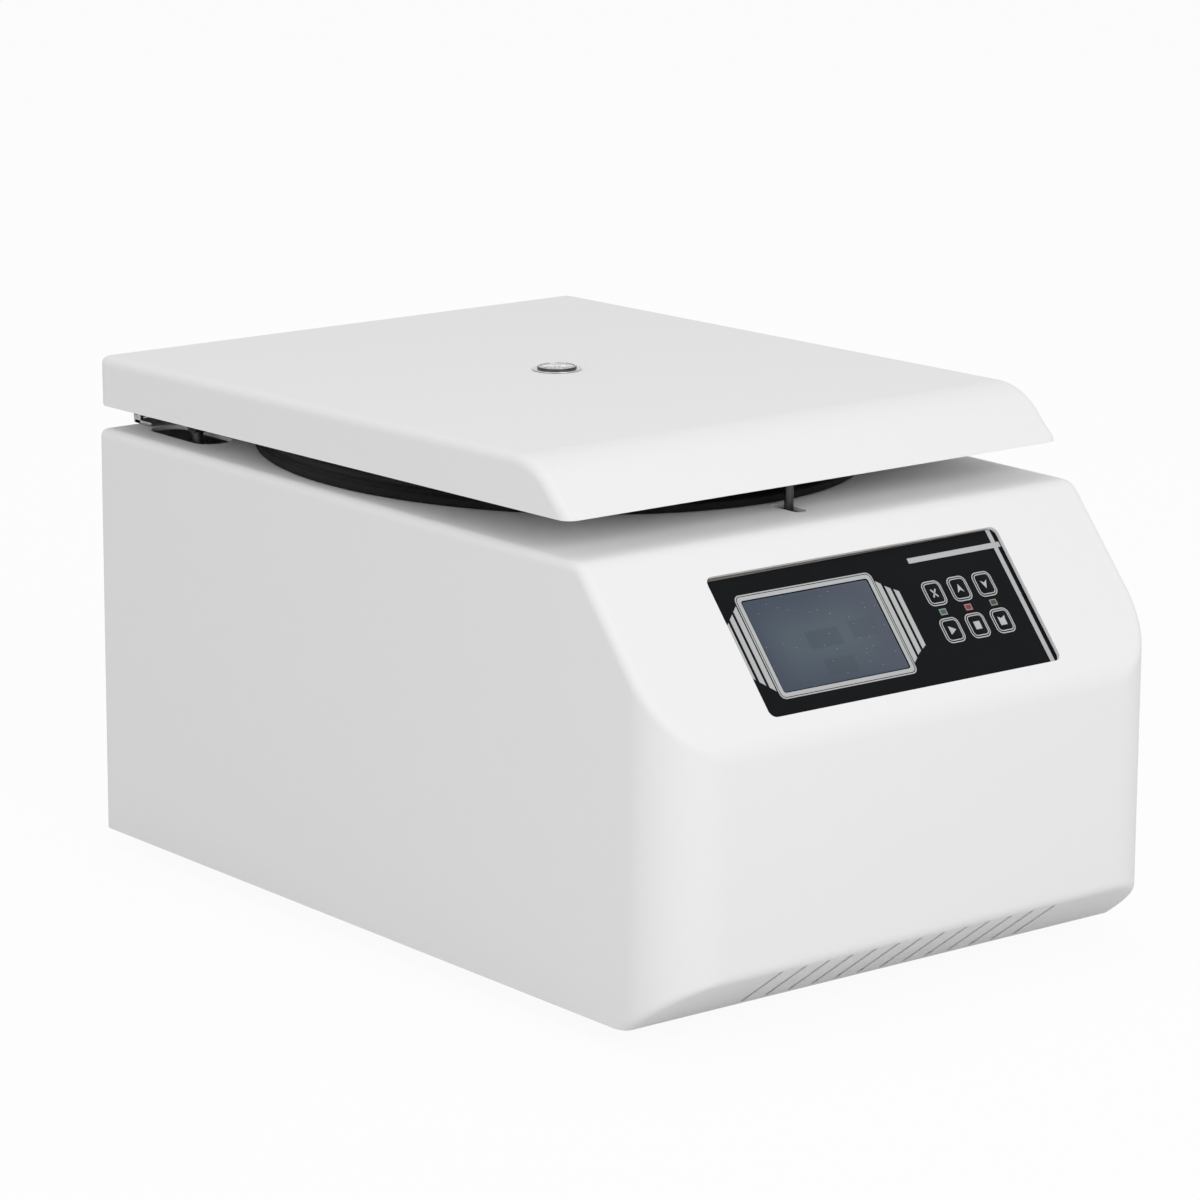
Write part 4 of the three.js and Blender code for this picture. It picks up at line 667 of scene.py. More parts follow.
def buildCase():
    # Side profile and plan rolled into one shell, open below; the profile's front runs on below the case's edge
    s = shell
    cut = {"back": (-187.5, 187.5, 261.5), "bowl": 176, "strut": (165, 542, 14, 35), "lock": (0, 133, 5, 14),
           "over": 6, "below": 50}
    over, below = cut["over"], cut["below"]
    run = below * s["chamferDepth"] / s["chamferHeight"]
    form = {
        "side": [(s["chamferDepth"] + run, -below, 0), (s["depth"], -below, 0),
                 (s["depth"], s["height"], s["topEdge"]), (s["slopeDepth"], s["height"], s["slopeTopBend"]),
                 (0, s["height"] - s["slopeHeight"], s["slopeFootBend"]), (0, s["chamferHeight"], s["chamferBend"])],
        "plan": planOf(s["width"] / 2, 0, s["depth"], s["frontCorner"], s["rearCorner"]),
        "edge": s["edge"],
        "core": ((-150, 100, 0), (150, 580, 164)),
    }
    # Grid lines stand closest where the form bends
    xs = lines((-200, -184, 14), (-184, -150, 14), (-150, 150, 20), (150, 184, 14), (184, 200, 14))
    ys = lines((0, 60, 30), (60, 100, 22), (100, 580, 24), (580, 600, 18))
    zs = lines((0, 60, 34), (60, 164, 6), (164, 240, 40), (240, 274, 26))
    top, under = s["height"] + over, s["height"] - s["wall"] - over
    left, right, high = cut["back"]
    strutX, strutY, strutHalf, strutReach = cut["strut"]
    cutters = [
        plate(boxOutline(left, right, -over, high, 3), -s["depth"] - over, -s["depth"] + s["wall"] + over,
              edge=0, matrix=alongY),
        plate(circle(0, spinY, cut["bowl"], 144), under, top, edge=0),
        *[plate(boxAround(sign * strutX, strutY, strutHalf, strutReach, 12, 10), under, top, edge=0)
          for _, sign in sides],
        plate(boxAround(*cut["lock"], 4.8, 8), under, top, edge=0),
        plate(slopeOutline(panel["field"], 0, panel["corner"]), -s["wall"] - over, over, edge=0,
              matrix=slopeFrame),
        *louvreCutters(),
    ]
    mesh = cutShell("caseShell", sheetShell(form, s["wall"], xs, ys, zs), cutters)
    addPiece("caseShell", mesh, "cabinet", "white_paint", "housing", sharp=36)


def buildLid():
    # The lid's skin like the case's, with its lower rear corner cut round, and a flat inner panel with screws
    lid = {"front": 100.5, "rear": 602.5, "low": 289, "high": 322, "half": 198, "wall": 1.5, "slopeRun": 32,
           "bend": 48, "rearEdge": 7, "corner": 9, "edge": 6.5, "lowerRearCorner": 9, "sightHole": 13.8,
           "liningHole": 11.5, "liningCorner": 7, "liningFront": 2.6, "screwX": (-184, 184),
           "screwY": (140, 236, 496), "below": 40, "over": 4, "beyond": 240}
    rear, low, high, below, over = lid["rear"], lid["low"], lid["high"], lid["below"], lid["over"]
    run = below * lid["slopeRun"] / (high - low)
    form = {
        "side": [(lid["front"] - run, low - below, 0), (rear, low - below, 0), (rear, high, lid["rearEdge"]),
                 (lid["front"] + lid["slopeRun"], high, lid["bend"])],
        "plan": planOf(lid["half"], lid["front"], rear, lid["corner"], lid["corner"]),
        "edge": lid["edge"],
        "core": ((-176, 190, 289), (176, 580, 303)),
    }
    xs = lines((-198, -176, 24), (-176, 176, 22), (176, 198, 24))
    ys = lines((100.5, 190, 60), (190, 580, 26), (580, 602.5, 22))
    zs = lines((289, 303, 10), (303, 322, 22))
    r = lid["lowerRearCorner"]
    arc = np.linspace(0, -math.pi / 2, 12)
    notch = np.concatenate([
        np.stack([rear - r + r * np.cos(arc), low + r + r * np.sin(arc)], 1),
        [(rear - r, low - over), (rear + over, low - over), (rear + over, low + r)]])
    cutters = [plate(circle(0, spinY, lid["sightHole"], 96), high - 2 * over, high + 2 * over, edge=0),
               plate(notch, -lid["beyond"], lid["beyond"], edge=0, matrix=alongX)]
    mesh = cutShell("lidSkin", sheetShell(form, lid["wall"], xs, ys, zs).moved(lidTurn),
                    [cutter.moved(lidTurn) for cutter in cutters])
    addPiece("lidSkin", mesh, "lid", "white_paint", "lid_shell", sharp=36)
    side = lid["half"] - lid["wall"] - gap
    outline = boxOutline(-side, side, lid["front"] + lid["liningFront"], rear - lid["wall"] - gap, lid["liningCorner"])
    lining = plate(outline, low, low + lid["wall"], [circle(0, spinY, lid["liningHole"], 64, True)], 0.25, 2)
    screws = [screwHead(4, 2.4, at(x, y, low, downward), 1) for x in lid["screwX"] for y in lid["screwY"]]
    addPiece("lidLining", joined(lining, *screws).moved(lidTurn), "lid", "white_paint", "lid_inner_panel",
             ["steel_sheet"], sharp=12)


buildCase()
print("case ready")
buildLid()
print("lid ready")


def onSide(sign, near, far):
    # From near to far on the left (sign -1) or right (1), as (low, high)
    return sorted((sign * near, sign * far))


def buildSight():
    # Sight glass: a flanged sleeve with a dark collar, and a clear plug that stands in it; its dome falls from the
    # middle by the square of radius / rim. The dark collar is painted shade: a dark band where the gap at the lens
    # lies in shade
    s = {"flange": 16, "rise": 0.6, "sleeve": 13.5, "bore": 11.5, "seat": 322.3, "bottom": 290.8, "neck": 12.3,
         "neckRise": 2.4, "collar": 12.8, "collarRise": 2.1, "overlap": 0.2, "dome": 2.9, "plug": 3.2}
    seat, neck, bore, face = s["seat"], s["neck"], s["bore"], s["seat"] + s["rise"]
    matrix = lidTurn @ onSpin
    ring = lathe([
        (bore, s["bottom"]), (s["sleeve"], s["bottom"]), (s["sleeve"], seat), (s["flange"], seat),
        (s["flange"], face, 0.45), (neck, face), (neck, seat + s["neckRise"], 0.3),
        (bore, seat + s["neckRise"], 0.2)], 6, 128)
    inside, low, high = neck - s["overlap"], seat + s["rise"] / 2, seat + s["collarRise"]
    # Painted shade: a dark collar round the neck, standing in for the shaded gap between ring and lens
    collar = lathe([(inside, low), (s["collar"], low), (s["collar"], high, 0.3), (inside, high)], 6, 128, ink=1)
    addPiece("sightRing", joined(ring, collar).moved(matrix), "lid", "stainless", "sight_bezel", ["oxide_and_painted_shade"])
    rim, edge = bore - gap, seat + s["neckRise"] - gap
    radii = np.linspace(rim, 0, 13)
    dome = np.stack([radii, edge + (seat + s["dome"] - edge) * (1 - (radii / rim) ** 2)], 1)
    lens = np.concatenate([[(0, edge - s["plug"]), (rim, edge - s["plug"])], dome])
    addPiece("sightLens", turned(lens, 128, matrix), "lid", "clear_lens", "sight_glass")


def buildStriker():
    # Striker: a disc under the lid, a rod with a collar, and a looped foot
    k = {"y": 133, "rod": 3, "low": 243, "half": 4, "halfDepth": 7, "window": 4, "foot": 3.5, "windowHeight": 11.5,
         "overlap": 2, "collar": 4.6, "collarDrop": 5, "disc": 9, "discDrop": 2}
    y, place = k["y"], at(0, k["y"], 0)
    top = k["low"] + 2 * k["foot"] + k["windowHeight"]
    stem = bar(k["rod"], top - k["overlap"], lidUnder - k["collarDrop"] + 1, place, ink=1)
    head = lathe([
        (0, lidUnder - k["collarDrop"]), (k["collar"], lidUnder - k["collarDrop"], 0.5),
        (k["collar"], lidUnder - k["discDrop"]), (k["disc"], lidUnder - k["discDrop"], 0.4),
        (k["disc"], lidUnder, 0.2), (0, lidUnder)], 3, 48, place)
    window = boxOutline(y - k["window"], y + k["window"], k["low"] + k["foot"], top - k["foot"], 1.2)[::-1]
    loop = plate(boxOutline(y - k["halfDepth"], y + k["halfDepth"], k["low"], top, 2.2), -k["half"], k["half"],
                 [window], 0.5, 3, alongX, 1)
    addPiece("latchStriker", joined(head, stem, loop).moved(lidTurn), "lid", "steel_sheet", "striker", ["oxide_and_painted_shade"])


def lug(y, z, radius, foot, reach):
    # An ear, round about (y, z), anticlockwise, cut off at its reach; it stands on its foot or hangs from it
    stands = foot < z
    end = math.acos(min(1, reach / radius))
    angles = np.linspace(end, math.pi, 20) if stands else np.linspace(-math.pi, -end, 20)
    arc = np.stack([y + radius * np.cos(angles), z + radius * np.sin(angles)], 1)
    return np.concatenate([arc, [(y - radius, foot), (y + reach, foot)][::1 if stands else -1]])


def eyeOf(bore, radius, low, high, count, matrix, edge=0.4):
    # A short tube: bore and outer radius, from low to high along its axis
    return lathe([(bore, low), (radius, low, edge), (radius, high, edge), (bore, high)], 3, count, matrix)


def buildHinges():
    # Hinges: a bent bracket and a pin on the case, and a leaf with a knuckle and a strut ear on the lid
    h = {"outer": 172, "inner": 132, "ear": 2.5, "knuckle": 5.5, "pin": 3, "plateDepth": 19.5, "rear": 599.4}
    leaf = {"thickness": 2.5, "outer": 160.5, "length": 69, "ear": 3, "eye": 6, "stub": 3, "stubEnd": 169,
            "overlap": 1.2, "stubOverlap": 1.5, "rivetX": 147, "rivetY": (545, 572)}
    seat, under = shell["height"] + gap, lidUnder - leaf["thickness"]
    axis = at(0, hingeY, hingeZ, alongX)
    ear = lug(hingeY, hingeZ, h["knuckle"], seat, h["rear"] - hingeY)
    pinHole = [circle(hingeY, hingeZ, h["pin"] + gap, 32, True)]
    strutEye = lug(*strutTop, leaf["eye"], lidUnder - leaf["overlap"], leaf["eye"])
    for side, sign in sides:
        x0, x1 = onSide(sign, h["inner"], h["outer"])
        bracket = joined(
            plate(boxOutline(x0, x1, h["rear"] - h["plateDepth"], h["rear"], 1.5), seat, seat + h["ear"], (), 0.3, 2),
            plate(ear, x0, x0 + h["ear"], pinHole, 0.3, 2, alongX),
            plate(ear, x1 - h["ear"], x1, pinHole, 0.3, 2, alongX))
        addPiece(f"hingeBracket_{side}", bracket, "cabinet", "zinc", f"hinge_bracket_{side}")
        addPiece(f"hingePin_{side}", bar(h["pin"], x0, x1, axis, 0.5), "cabinet", "steel_sheet", f"hinge_pin_{side}")
        k0, k1 = onSide(sign, h["inner"] + h["ear"] + gap, h["outer"] - h["ear"] - gap)
        p0, p1 = onSide(sign, h["inner"] + h["ear"] + gap, leaf["outer"])
        e0, e1 = onSide(sign, leaf["outer"] - leaf["ear"], leaf["outer"])
        s0, s1 = onSide(sign, leaf["outer"] - leaf["stubOverlap"], leaf["stubEnd"])
        made = joined(
            eyeOf(h["pin"] + gap, h["knuckle"], k0, k1, 40, axis),
            plate(boxOutline(p0, p1, hingeY - leaf["length"], hingeY, 2), under, lidUnder, (), 0.4, 2),
            plate(strutEye, e0, e1, (), 0.4, 2, alongX),
            bar(leaf["stub"], s0, s1, at(0, *strutTop, alongX), 0.4),
            *[screwHead(4, 2, at(sign * leaf["rivetX"], y, under, downward)) for y in leaf["rivetY"]])
        made.parts = [(faces, 1) for faces, _ in made.parts]
        addPiece(f"lidLeaf_{side}", made.moved(lidTurn), "lid", "zinc", f"lid_leaf_{side}", ["oxide_and_painted_shade"])


def buildStruts():
    # Gas struts: a rolled cylinder with a crimped gland, a bright rod, and an eye at each end; each leans from its
    # foot to the lid's stub by the angle whose tangent is run / rise
    k = {"x": 165, "foot": (500, 94), "eye": 6, "eyeHalf": 3.7, "pin": 3, "neck": 4, "neckLength": 16, "body": 8.5,
         "bodyLength": 118, "rod": 4, "rodStart": 24, "stub": 3.5, "stubLength": 8, "width": 8, "bore": 0.6,
         "play": 0.4, "gland": 7, "crimp": 7.7, "boreEnd": 4, "rodEnd": 30}
    top = (lidTurn @ Vector((0, *strutTop))).yz
    rise = top - Vector(k["foot"])
    length = rise.length
    lean = turn(-math.degrees(math.atan2(rise.x, rise.y)), "X")
    high = length - k["neckLength"]
    low = high - k["bodyLength"]
    inner, outer, core, tip = k["rod"] + k["play"], k["body"], low + k["rodEnd"], length - k["boreEnd"]
    for side, sign in sides:
        seat = at(sign * k["x"], *k["foot"], lean)
        body = lathe([
            (inner, low), (k["gland"], low, 1), (outer, low + 3, 1.5), (outer, low + 10, 0.8),
            (k["crimp"], low + 11.5, 1), (outer, low + 13, 0.8), (outer, high, 2.4), (k["neck"], high + 1, 0.4),
            (k["neck"], tip), (k["bore"], tip), (k["bore"], core), (inner, core)], 5, 48)
        eye = eyeOf(k["pin"] + gap, k["eye"], -k["eyeHalf"], k["eyeHalf"], 40, at(0, 0, length, alongX), 0.6)
        addPiece(f"strutCylinder_{side}", joined(body, eye).moved(seat), f"strut_cylinder_{side}", "motor_paint",
                 f"strut_cylinder_{side}")
        half = k["width"] / 2
        foot = joined(bar(k["rod"], 0, length - k["rodStart"], edge=0.8), bar(k["eye"], -half, half, alongX, 0.6, 40),
                      bar(k["stub"], *onSide(sign, 0, half + k["stubLength"]), alongX, 0.5))
        addPiece(f"strutRod_{side}", foot.moved(seat), f"strut_rod_{side}", "stainless", f"strut_rod_{side}")


buildSight()
buildStriker()
buildHinges()
buildStruts()
print("lid fittings, hinges and struts ready")


def buildChamber():
    # Deep-drawn bowl, seal ring, boot, drive shaft; the outlines' corners are (radius, height, fillet)
    b = {"outer": 172, "sheet": 1.5, "low": 109.5, "rim": 184, "rimTop": 271.2, "corner": 20, "hole": 30}
    seal = {"outline": [(173, 271.5), (175.7, 271.5), (175.7, 274.3), (190, 274.3, 0.6), (190, 279, 1.2),
                        (187.6, 281.5, 1.2), (190, 284, 1.2), (190, lidUnder, 3.4), (173, lidUnder, 4.2)],
            "stretchFrom": 176, "stretchOver": 14, "stretch": (-0.018, 0.125)}
    boot = [(23.7, 92.3), (29.7, 92.3), (29.7, 111.3), (39, 111.3, 0.4), (39, 114.3, 1.2), (33, 114.3, 1),
            (31, 113.1, 1), (29, 114.3, 1), (24, 114.3, 0.5)]
    shaft = [(0, 30), (9, 30, 0.6), (9, 180.7, 0.5), (13, 180.7, 0.6), (13, 185.7, 0.6), (9, 185.7), (9, 224, 0.4),
             (7, 224), (7, 233, 0.6), (0, 233)]
    inner, foot, lip = b["outer"] - b["sheet"], b["low"] + b["sheet"], b["rimTop"] - b["sheet"]
    bowl = lathe([
        (b["hole"], b["low"]), (b["outer"], b["low"], b["corner"]), (b["outer"], lip), (b["rim"], lip),
        (b["rim"], b["rimTop"], 0.5), (inner, b["rimTop"], 1.4), (inner, foot, b["corner"] - b["sheet"]),
        (b["hole"], foot)], 12, 160, onSpin)
    addPiece("chamberBowl", bowl, "cabinet", "stainless", "chamber_bowl")
    ring = lathe(seal["outline"], 6, 160)
    # Its rim is oval, longest towards the lock: the stretch grows from none at the bore to all of it at the rim
    out = np.hypot(ring.points[:, 0], ring.points[:, 1]) - seal["stretchFrom"]
    out = np.clip(out / seal["stretchOver"], 0, 1)
    ring.points[:, :2] *= 1 + out[:, None] * np.array(seal["stretch"])
    addPiece("sealRing", ring.moved(onSpin), "cabinet", "black_rubber", "chamber_gasket")
    addPiece("shaftBoot", lathe(boot, 5, 96, onSpin), "cabinet", "black_rubber", "shaft_boot")
    addPiece("driveShaft", lathe(shaft, 4, 64, onSpin), "rotor", "steel_sheet", "motor_shaft")


def buildRotor():
    # Rotor: a cross yoke with four open slots, a hub, trunnion pins, and a dome nut. Each slot's corners turn with
    # its arm, (x cos - y sin, x sin + y cos), and arcs of the reach join the slots
    r = {"hub": 30, "low": 186, "high": 224, "arm": 16, "reach": 108, "pivot": 88, "half": 31, "floor": 54,
         "bore": 9.3, "pin": 4, "pinHalf": 4.5, "hubFoot": 24, "hubTop": 26, "footRise": 7, "topFall": 5,
         "nut": 15, "nutHeight": 14, "nutBore": 7.3,
         "nutDome": [(0, 10), (9, 10), (9, 14, 0.4), (8.4, 16.4, 2.4), (5, 18, 2.4), (0, 18)]}
    half, low, high, bore = r["half"], r["low"], r["high"], r["bore"]
    pivotZ = (low + high) / 2
    mouth = math.sqrt(r["reach"] ** 2 - half ** 2)
    start = math.atan2(half, mouth)
    corners = []
    for i in range(4):
        angle = i * math.pi / 2
        c, s = math.cos(angle), math.sin(angle)
        for x, y, radius in ((mouth, -half, 2), (r["floor"], -half, 6), (r["floor"], half, 6), (mouth, half, 2)):
            corners.append((x * c - y * s, x * s + y * c, radius))
        for a in np.linspace(angle + start, angle + math.pi / 2 - start, 22)[1:-1]:
            corners.append((r["reach"] * math.cos(a), r["reach"] * math.sin(a), 0))
    yoke = [
        plate(filleted(corners, 6), pivotZ - r["arm"] / 2, pivotZ + r["arm"] / 2, [circle(0, 0, bore, 48, True)],
              1.2, 4),
        lathe([(bore, low), (r["hubFoot"], low, 1.5), (r["hub"], low + r["footRise"], 3),
               (r["hub"], high - r["topFall"], 3), (r["hubTop"], high, 1.5), (bore, high, 0.5)], 5, 96)]
    for i in range(4):
        arm = turn(90 * i, "Z") @ at(r["pivot"], 0, pivotZ, alongY)
        yoke += [bar(r["pin"], *onSide(-sign, half - r["pinHalf"], half + r["pinHalf"]), arm, 0.5, ink=1)
                 for _, sign in sides]
    addPiece("rotorYoke", joined(*yoke).moved(onSpin), "rotor", "cast_aluminium", "rotor_yoke", ["steel_sheet"])
    foot = high + gap
    hexagon = filleted([(x, y, 1.2) for x, y in circle(0, 0, r["nut"], 6)], 4)
    nut = joined(
        plate(hexagon, foot, foot + r["nutHeight"], [circle(0, 0, r["nutBore"], 32, True)], 0.9, 4),
        lathe([(radius, foot + rise, *fillet) for radius, rise, *fillet in r["nutDome"]], 5, 48))
    addPiece("rotorNut", nut.moved(onSpin), "rotor", "stainless", "rotor_nut")
    buildBuckets(r["pivot"], pivotZ)


def buildBuckets(reach, pivotZ):
    # Four cups with a rim, a groove and two trunnion bosses, hung at the reach from the spin axis
    k = {"outer": 26, "wall": 2.5, "above": 16, "below": 70, "rim": 28, "rimHeight": 4, "floor": 3, "corner": 5,
         "groove": 0.7, "grooveRise": 15, "boss": 8, "bossBore": 4.3, "bossOverlap": 1.2, "bossEnd": 30.7}
    outer, inner, top, foot = k["outer"], k["outer"] - k["wall"], k["above"], -k["below"]
    rim, groove = top - k["rimHeight"], foot + k["grooveRise"]
    for i in range(4):
        cup = lathe([
            (0, foot), (outer, foot, k["corner"]), (outer, groove - 1, 0.4), (outer - k["groove"], groove, 0.4),
            (outer, groove + 1, 0.4), (outer, rim, 0.6), (k["rim"], rim, 0.8), (k["rim"], top, 0.9),
            (inner, top, 0.9), (inner, foot + k["floor"], 4.5), (0, foot + k["floor"])], 6, 96)
        ends = [onSide(-sign, outer - k["bossOverlap"], k["bossEnd"]) for _, sign in sides]
        bosses = [lathe([(k["bossBore"], a), (k["boss"], a, 0.5), (k["boss"], b, 0.5), (k["bossBore"], b, 0.3)],
                        3, 48, alongY) for a, b in ends]
        seat = onSpin @ turn(90 * i, "Z") @ at(reach, 0, pivotZ)
        addPiece(f"swingBucket_{i + 1}", joined(cup, *bosses).moved(seat), f"bucket_{i + 1}", "cast_aluminium",
                 f"bucket_{i + 1}")


buildChamber()
buildRotor()
print("chamber and rotor ready")


screen = {"field": (-46.45, 99.8, 40.3, 62.6), "corner": 2, "rim": 5, "rimCorner": 1, "depth": 9, "sunk": 0.2,
          "glassCorner": 1.7}
keypad = {"xs": (48.4, 69.2, 90.0), "rows": (58, 84.1), "size": (13.4, 15.2), "corner": 3.4, "depth": 3.2,
          "proud": 0.2, "ring": (-1.1, -0.42), "names": ("shift", "up", "down", "start", "stop", "open")}
lampPlan = {"names": ("green", "red", "amber"), "size": (6.4, 5.2), "middle": 71.1, "thickness": 2.1,
            "corner": 0.2, "border": ((-1.15, 0.1), (-0.47, 0.2))}
panelFace = -shell["wall"] - gap
panelBack = panelFace - panel["thickness"]
inkHeight, inkDepth = 0.07, 0.3


def fieldAt(x, middle, size):
    # A field from its middle and its size
    return x, size[0], middle - size[1] / 2, size[1]


keyFields = [fieldAt(x, row, keypad["size"]) for row in keypad["rows"] for x in keypad["xs"]]
lampFields = [fieldAt(x, lampPlan["middle"], lampPlan["size"]) for x in keypad["xs"]]


def printed(outline, level, holes=(), height=inkHeight, ink=1):
    # A thin layer of ink, part sunk into what it is printed on
    return plate(outline, level - inkDepth, level + height, holes, 0, matrix=slopeFrame, ink=ink)


def printedRing(field, level, inner, outer):
    # A ring round a field: inner and outer are (growth, corner radius)
    return printed(slopeOutline(field, *outer), level, [slopeOutline(field, *inner)[::-1]])


def grown(corner, growth):
    # A rounded corner keeps its middle when it grows
    return growth, corner + growth


def buildOverlay():
    # The panel's film with its holes; prints lie on it: rings, stripes with slanted ends (left x, right x, their top
    # ends, their bottom ends), crossed bars by the keys, the level one in two parts, and a grey edge at the top
    look = {
        "screenRings": (((0.3, 2), (2.9, 3.2)), ((3.4, 3.6), (4.2, 4.2))),
        "stripes": ((8.3, 11.9, 42.8, 45.4, 100.3, 97.4), (13.8, 17.4, 47.05, 49.4, 95.65, 93.2),
                    (19.3, 22.8, 50.3, 52.3, 92.3, 90.3), (-105.1, -101.5, 45.8, 42.6, 97.9, 101.0),
                    (-110.45, -106.95, 50.5, 47.4, 93.3, 96.3), (-116, -112.4, 55.4, 52.2, 88.5, 91.6)),
        "keyRing": (0.3, 1.05),
        "bars": ([(40.45, -35.7), (111.1, -35.33), (111.1, -31.68), (40.45, -32.05)],
                 [(114.55, -35.31), (117.2, -35.3), (117.2, -31.65), (114.55, -31.66)],
                 [(111.1, -118), (114.55, -118), (114.55, -22.4), (111.1, -22.4)]),
        "edge": [(-116.5, -23.9), (117.7, -22.6), (117.7, -22.3), (-116.5, -22.3)],
    }
    holes = [slopeOutline(screen["field"], 0, screen["corner"])]
    holes += [slopeOutline(field, 0, keypad["corner"]) for field in keyFields]
    holes += [slopeOutline(field) for field in lampFields]
    sheet = plate(slopeOutline(panel["field"], panel["border"], panel["corner"]), panelBack, panelFace,
                  [hole[::-1] for hole in holes], 0.05, 1, slopeFrame)
    prints = [printedRing(screen["field"], panelFace, *ring) for ring in look["screenRings"]]
    prints += [printed([(x0, -e0), (x1, -e1), (x1, -s1), (x0, -s0)], panelFace)
               for x0, x1, s0, s1, e0, e1 in look["stripes"]]
    prints += [printedRing(field, panelFace, *(grown(keypad["corner"], growth) for growth in look["keyRing"]))
               for field in keyFields]
    prints += [printed(outline, panelFace) for outline in look["bars"]]
    prints.append(printed(look["edge"], panelFace, (), inkHeight / 2, 2))
    addPiece("panelOverlay", joined(sheet, *prints), "cabinet", "overlay_film", "control_overlay",
             ["silver", "film_edge"])


def buildScreen():
    # Screen: a glass front on a wider housing
    back = panelBack - gap - screen["depth"]
    glass = plate(slopeOutline(screen["field"], -gap, screen["glassCorner"]), back, panelFace - screen["sunk"],
                  (), 0.3, 2, slopeFrame)
    can = plate(slopeOutline(screen["field"], screen["rim"], screen["rimCorner"]), back, panelBack - gap,
                (), 0.3, 2, slopeFrame)
    addPiece("displayScreen", joined(glass, can), "cabinet", "display_glass", "display_module")


def keySymbols():
    # Outlines about each key's middle, up the slope: crossed strokes, chevrons, triangle, square, open box. A stroke
    # runs along d = (sine, cosine) of its lean and is widened by half its width along the normal n
    stroke = {"reach": 3.3, "lean": 0.62, "width": 1.05}
    strokes = []
    for sign in (-1, 1):
        d = np.array([math.sin(sign * stroke["lean"]), math.cos(stroke["lean"])])
        n = np.array([-d[1], d[0]]) * stroke["width"] / 2
        d = d * stroke["reach"]
        strokes.append(np.array([n - d, -n - d, d - n, d + n]))
    dart = np.array([(0, 3.2), (-2.7, -2.7), (0, -0.9), (2.7, -2.7)])
    return {
        "shift": strokes,
        "up": [dart],
        "down": [dart * (1, -1)],
        "start": [np.array([(-2.3, -3), (3, 0), (-2.3, 3)])],
        "stop": [np.array([(-2.5, -2.7), (2.5, -2.7), (2.5, 2.7), (-2.5, 2.7)])],
        "open": [np.array([(-2.9, -3.1), (2.3, -3.1), (2.3, 0.9), (-2.9, 0.9)]),
                 np.array([(-2.9, 0.9), (-2.9, 3.0), (-0.5, 1.6), (2.9, 3.2), (2.3, 0.9)])],
    }


def counterClockwise(outline):
    # An outline whose area, half the sum of its cross products, is positive; otherwise it is turned round
    ahead = np.roll(outline, -1, 0)
    area = np.sum(outline[:, 0] * ahead[:, 1] - ahead[:, 0] * outline[:, 1])
    return outline if area > 0 else outline[::-1]


def buildKeys():
    # Membrane keys: a thin cap in its hole, a printed ring inside its edge and a symbol in its middle
    face, corner = panelFace + keypad["proud"], keypad["corner"]
    symbols = keySymbols()
    places = [(x, -row) for row in keypad["rows"] for x in keypad["xs"]]
    for name, field, place in zip(keypad["names"], keyFields, places):
        cap = plate(slopeOutline(field, *grown(corner, -gap)), face - keypad["depth"], face, (), 0.12, 2, slopeFrame)
        ring = printedRing(field, face, *(grown(corner, growth) for growth in keypad["ring"]))
        marks = [printed(counterClockwise(mark + np.array(place)), face) for mark in symbols[name]]
        addPiece(f"keyCap_{name}", joined(cap, ring, *marks), f"key_{name}", "overlay_film", f"key_{name}",
                 ["silver"])


def buildLamps():
    # Lamps: a flat tinted lens with a paler border
    for name, field in zip(lampPlan["names"], lampFields):
        lens = plate(slopeOutline(field, -gap, lampPlan["corner"]), panelFace - lampPlan["thickness"], panelFace,
                     (), 0.15, 2, slopeFrame)
        border = printedRing(field, panelFace, *lampPlan["border"])
        addPiece(f"lampLens_{name}", joined(lens, border), "cabinet", f"lamp_{name}", f"lamp_{name}",
                 [f"border_{name}"])


buildOverlay()
buildScreen()
buildKeys()
buildLamps()
print("control panel ready")


rear = {"fan": (-95, 90), "inlet": (95, 60), "switch": (95, 110), "inner": 595.2, "outer": 597.2}


def buildBack():
    # Back wall with a slotted grille for the fan, two holes and screws; a slot ends where its outer edge meets the
    # grille's circle, at the root of radius squared - height squared
    wall = {"half": 194.7, "low": 2.3, "high": 267.7, "inletHole": (14.3, 10.55), "switchHole": (10.8, 13.8),
            "screws": ((-180, 14), (180, 14), (-180, 250), (180, 250), (0, 250), (0, 14)), "fanScrew": 41}
    grille = {"slots": 9, "pitch": 8.6, "width": 4.6, "radius": 42}
    fanX, fanZ = rear["fan"]
    half = grille["width"] / 2
    holes = []
    for i in range(grille["slots"]):
        z = fanZ + (i - (grille["slots"] - 1) / 2) * grille["pitch"]
        reach = math.sqrt(grille["radius"] ** 2 - (abs(z - fanZ) + half) ** 2)
        holes.append(boxAround(fanX, z, reach, half, half - 0.05))
    holes += [boxAround(*rear["inlet"], *wall["inletHole"]), boxAround(*rear["switch"], *wall["switchHole"])]
    sheet = plate(boxOutline(-wall["half"], wall["half"], wall["low"], wall["high"], 1), -rear["outer"],
                  -rear["inner"], [hole[::-1] for hole in holes], 0.25, 2, alongY)
    fanScrews = [(fanX + a * wall["fanScrew"], fanZ + b * wall["fanScrew"]) for b in (-1, 1) for a in (-1, 1)]
    screws = [screwHead(3.6, 2.2, at(x, rear["outer"], z, rearward), 1) for x, z in (*wall["screws"], *fanScrews)]
    addPiece("backPanel", joined(sheet, *screws), "cabinet", "white_paint", "rear_panel", ["steel_sheet"], sharp=12)


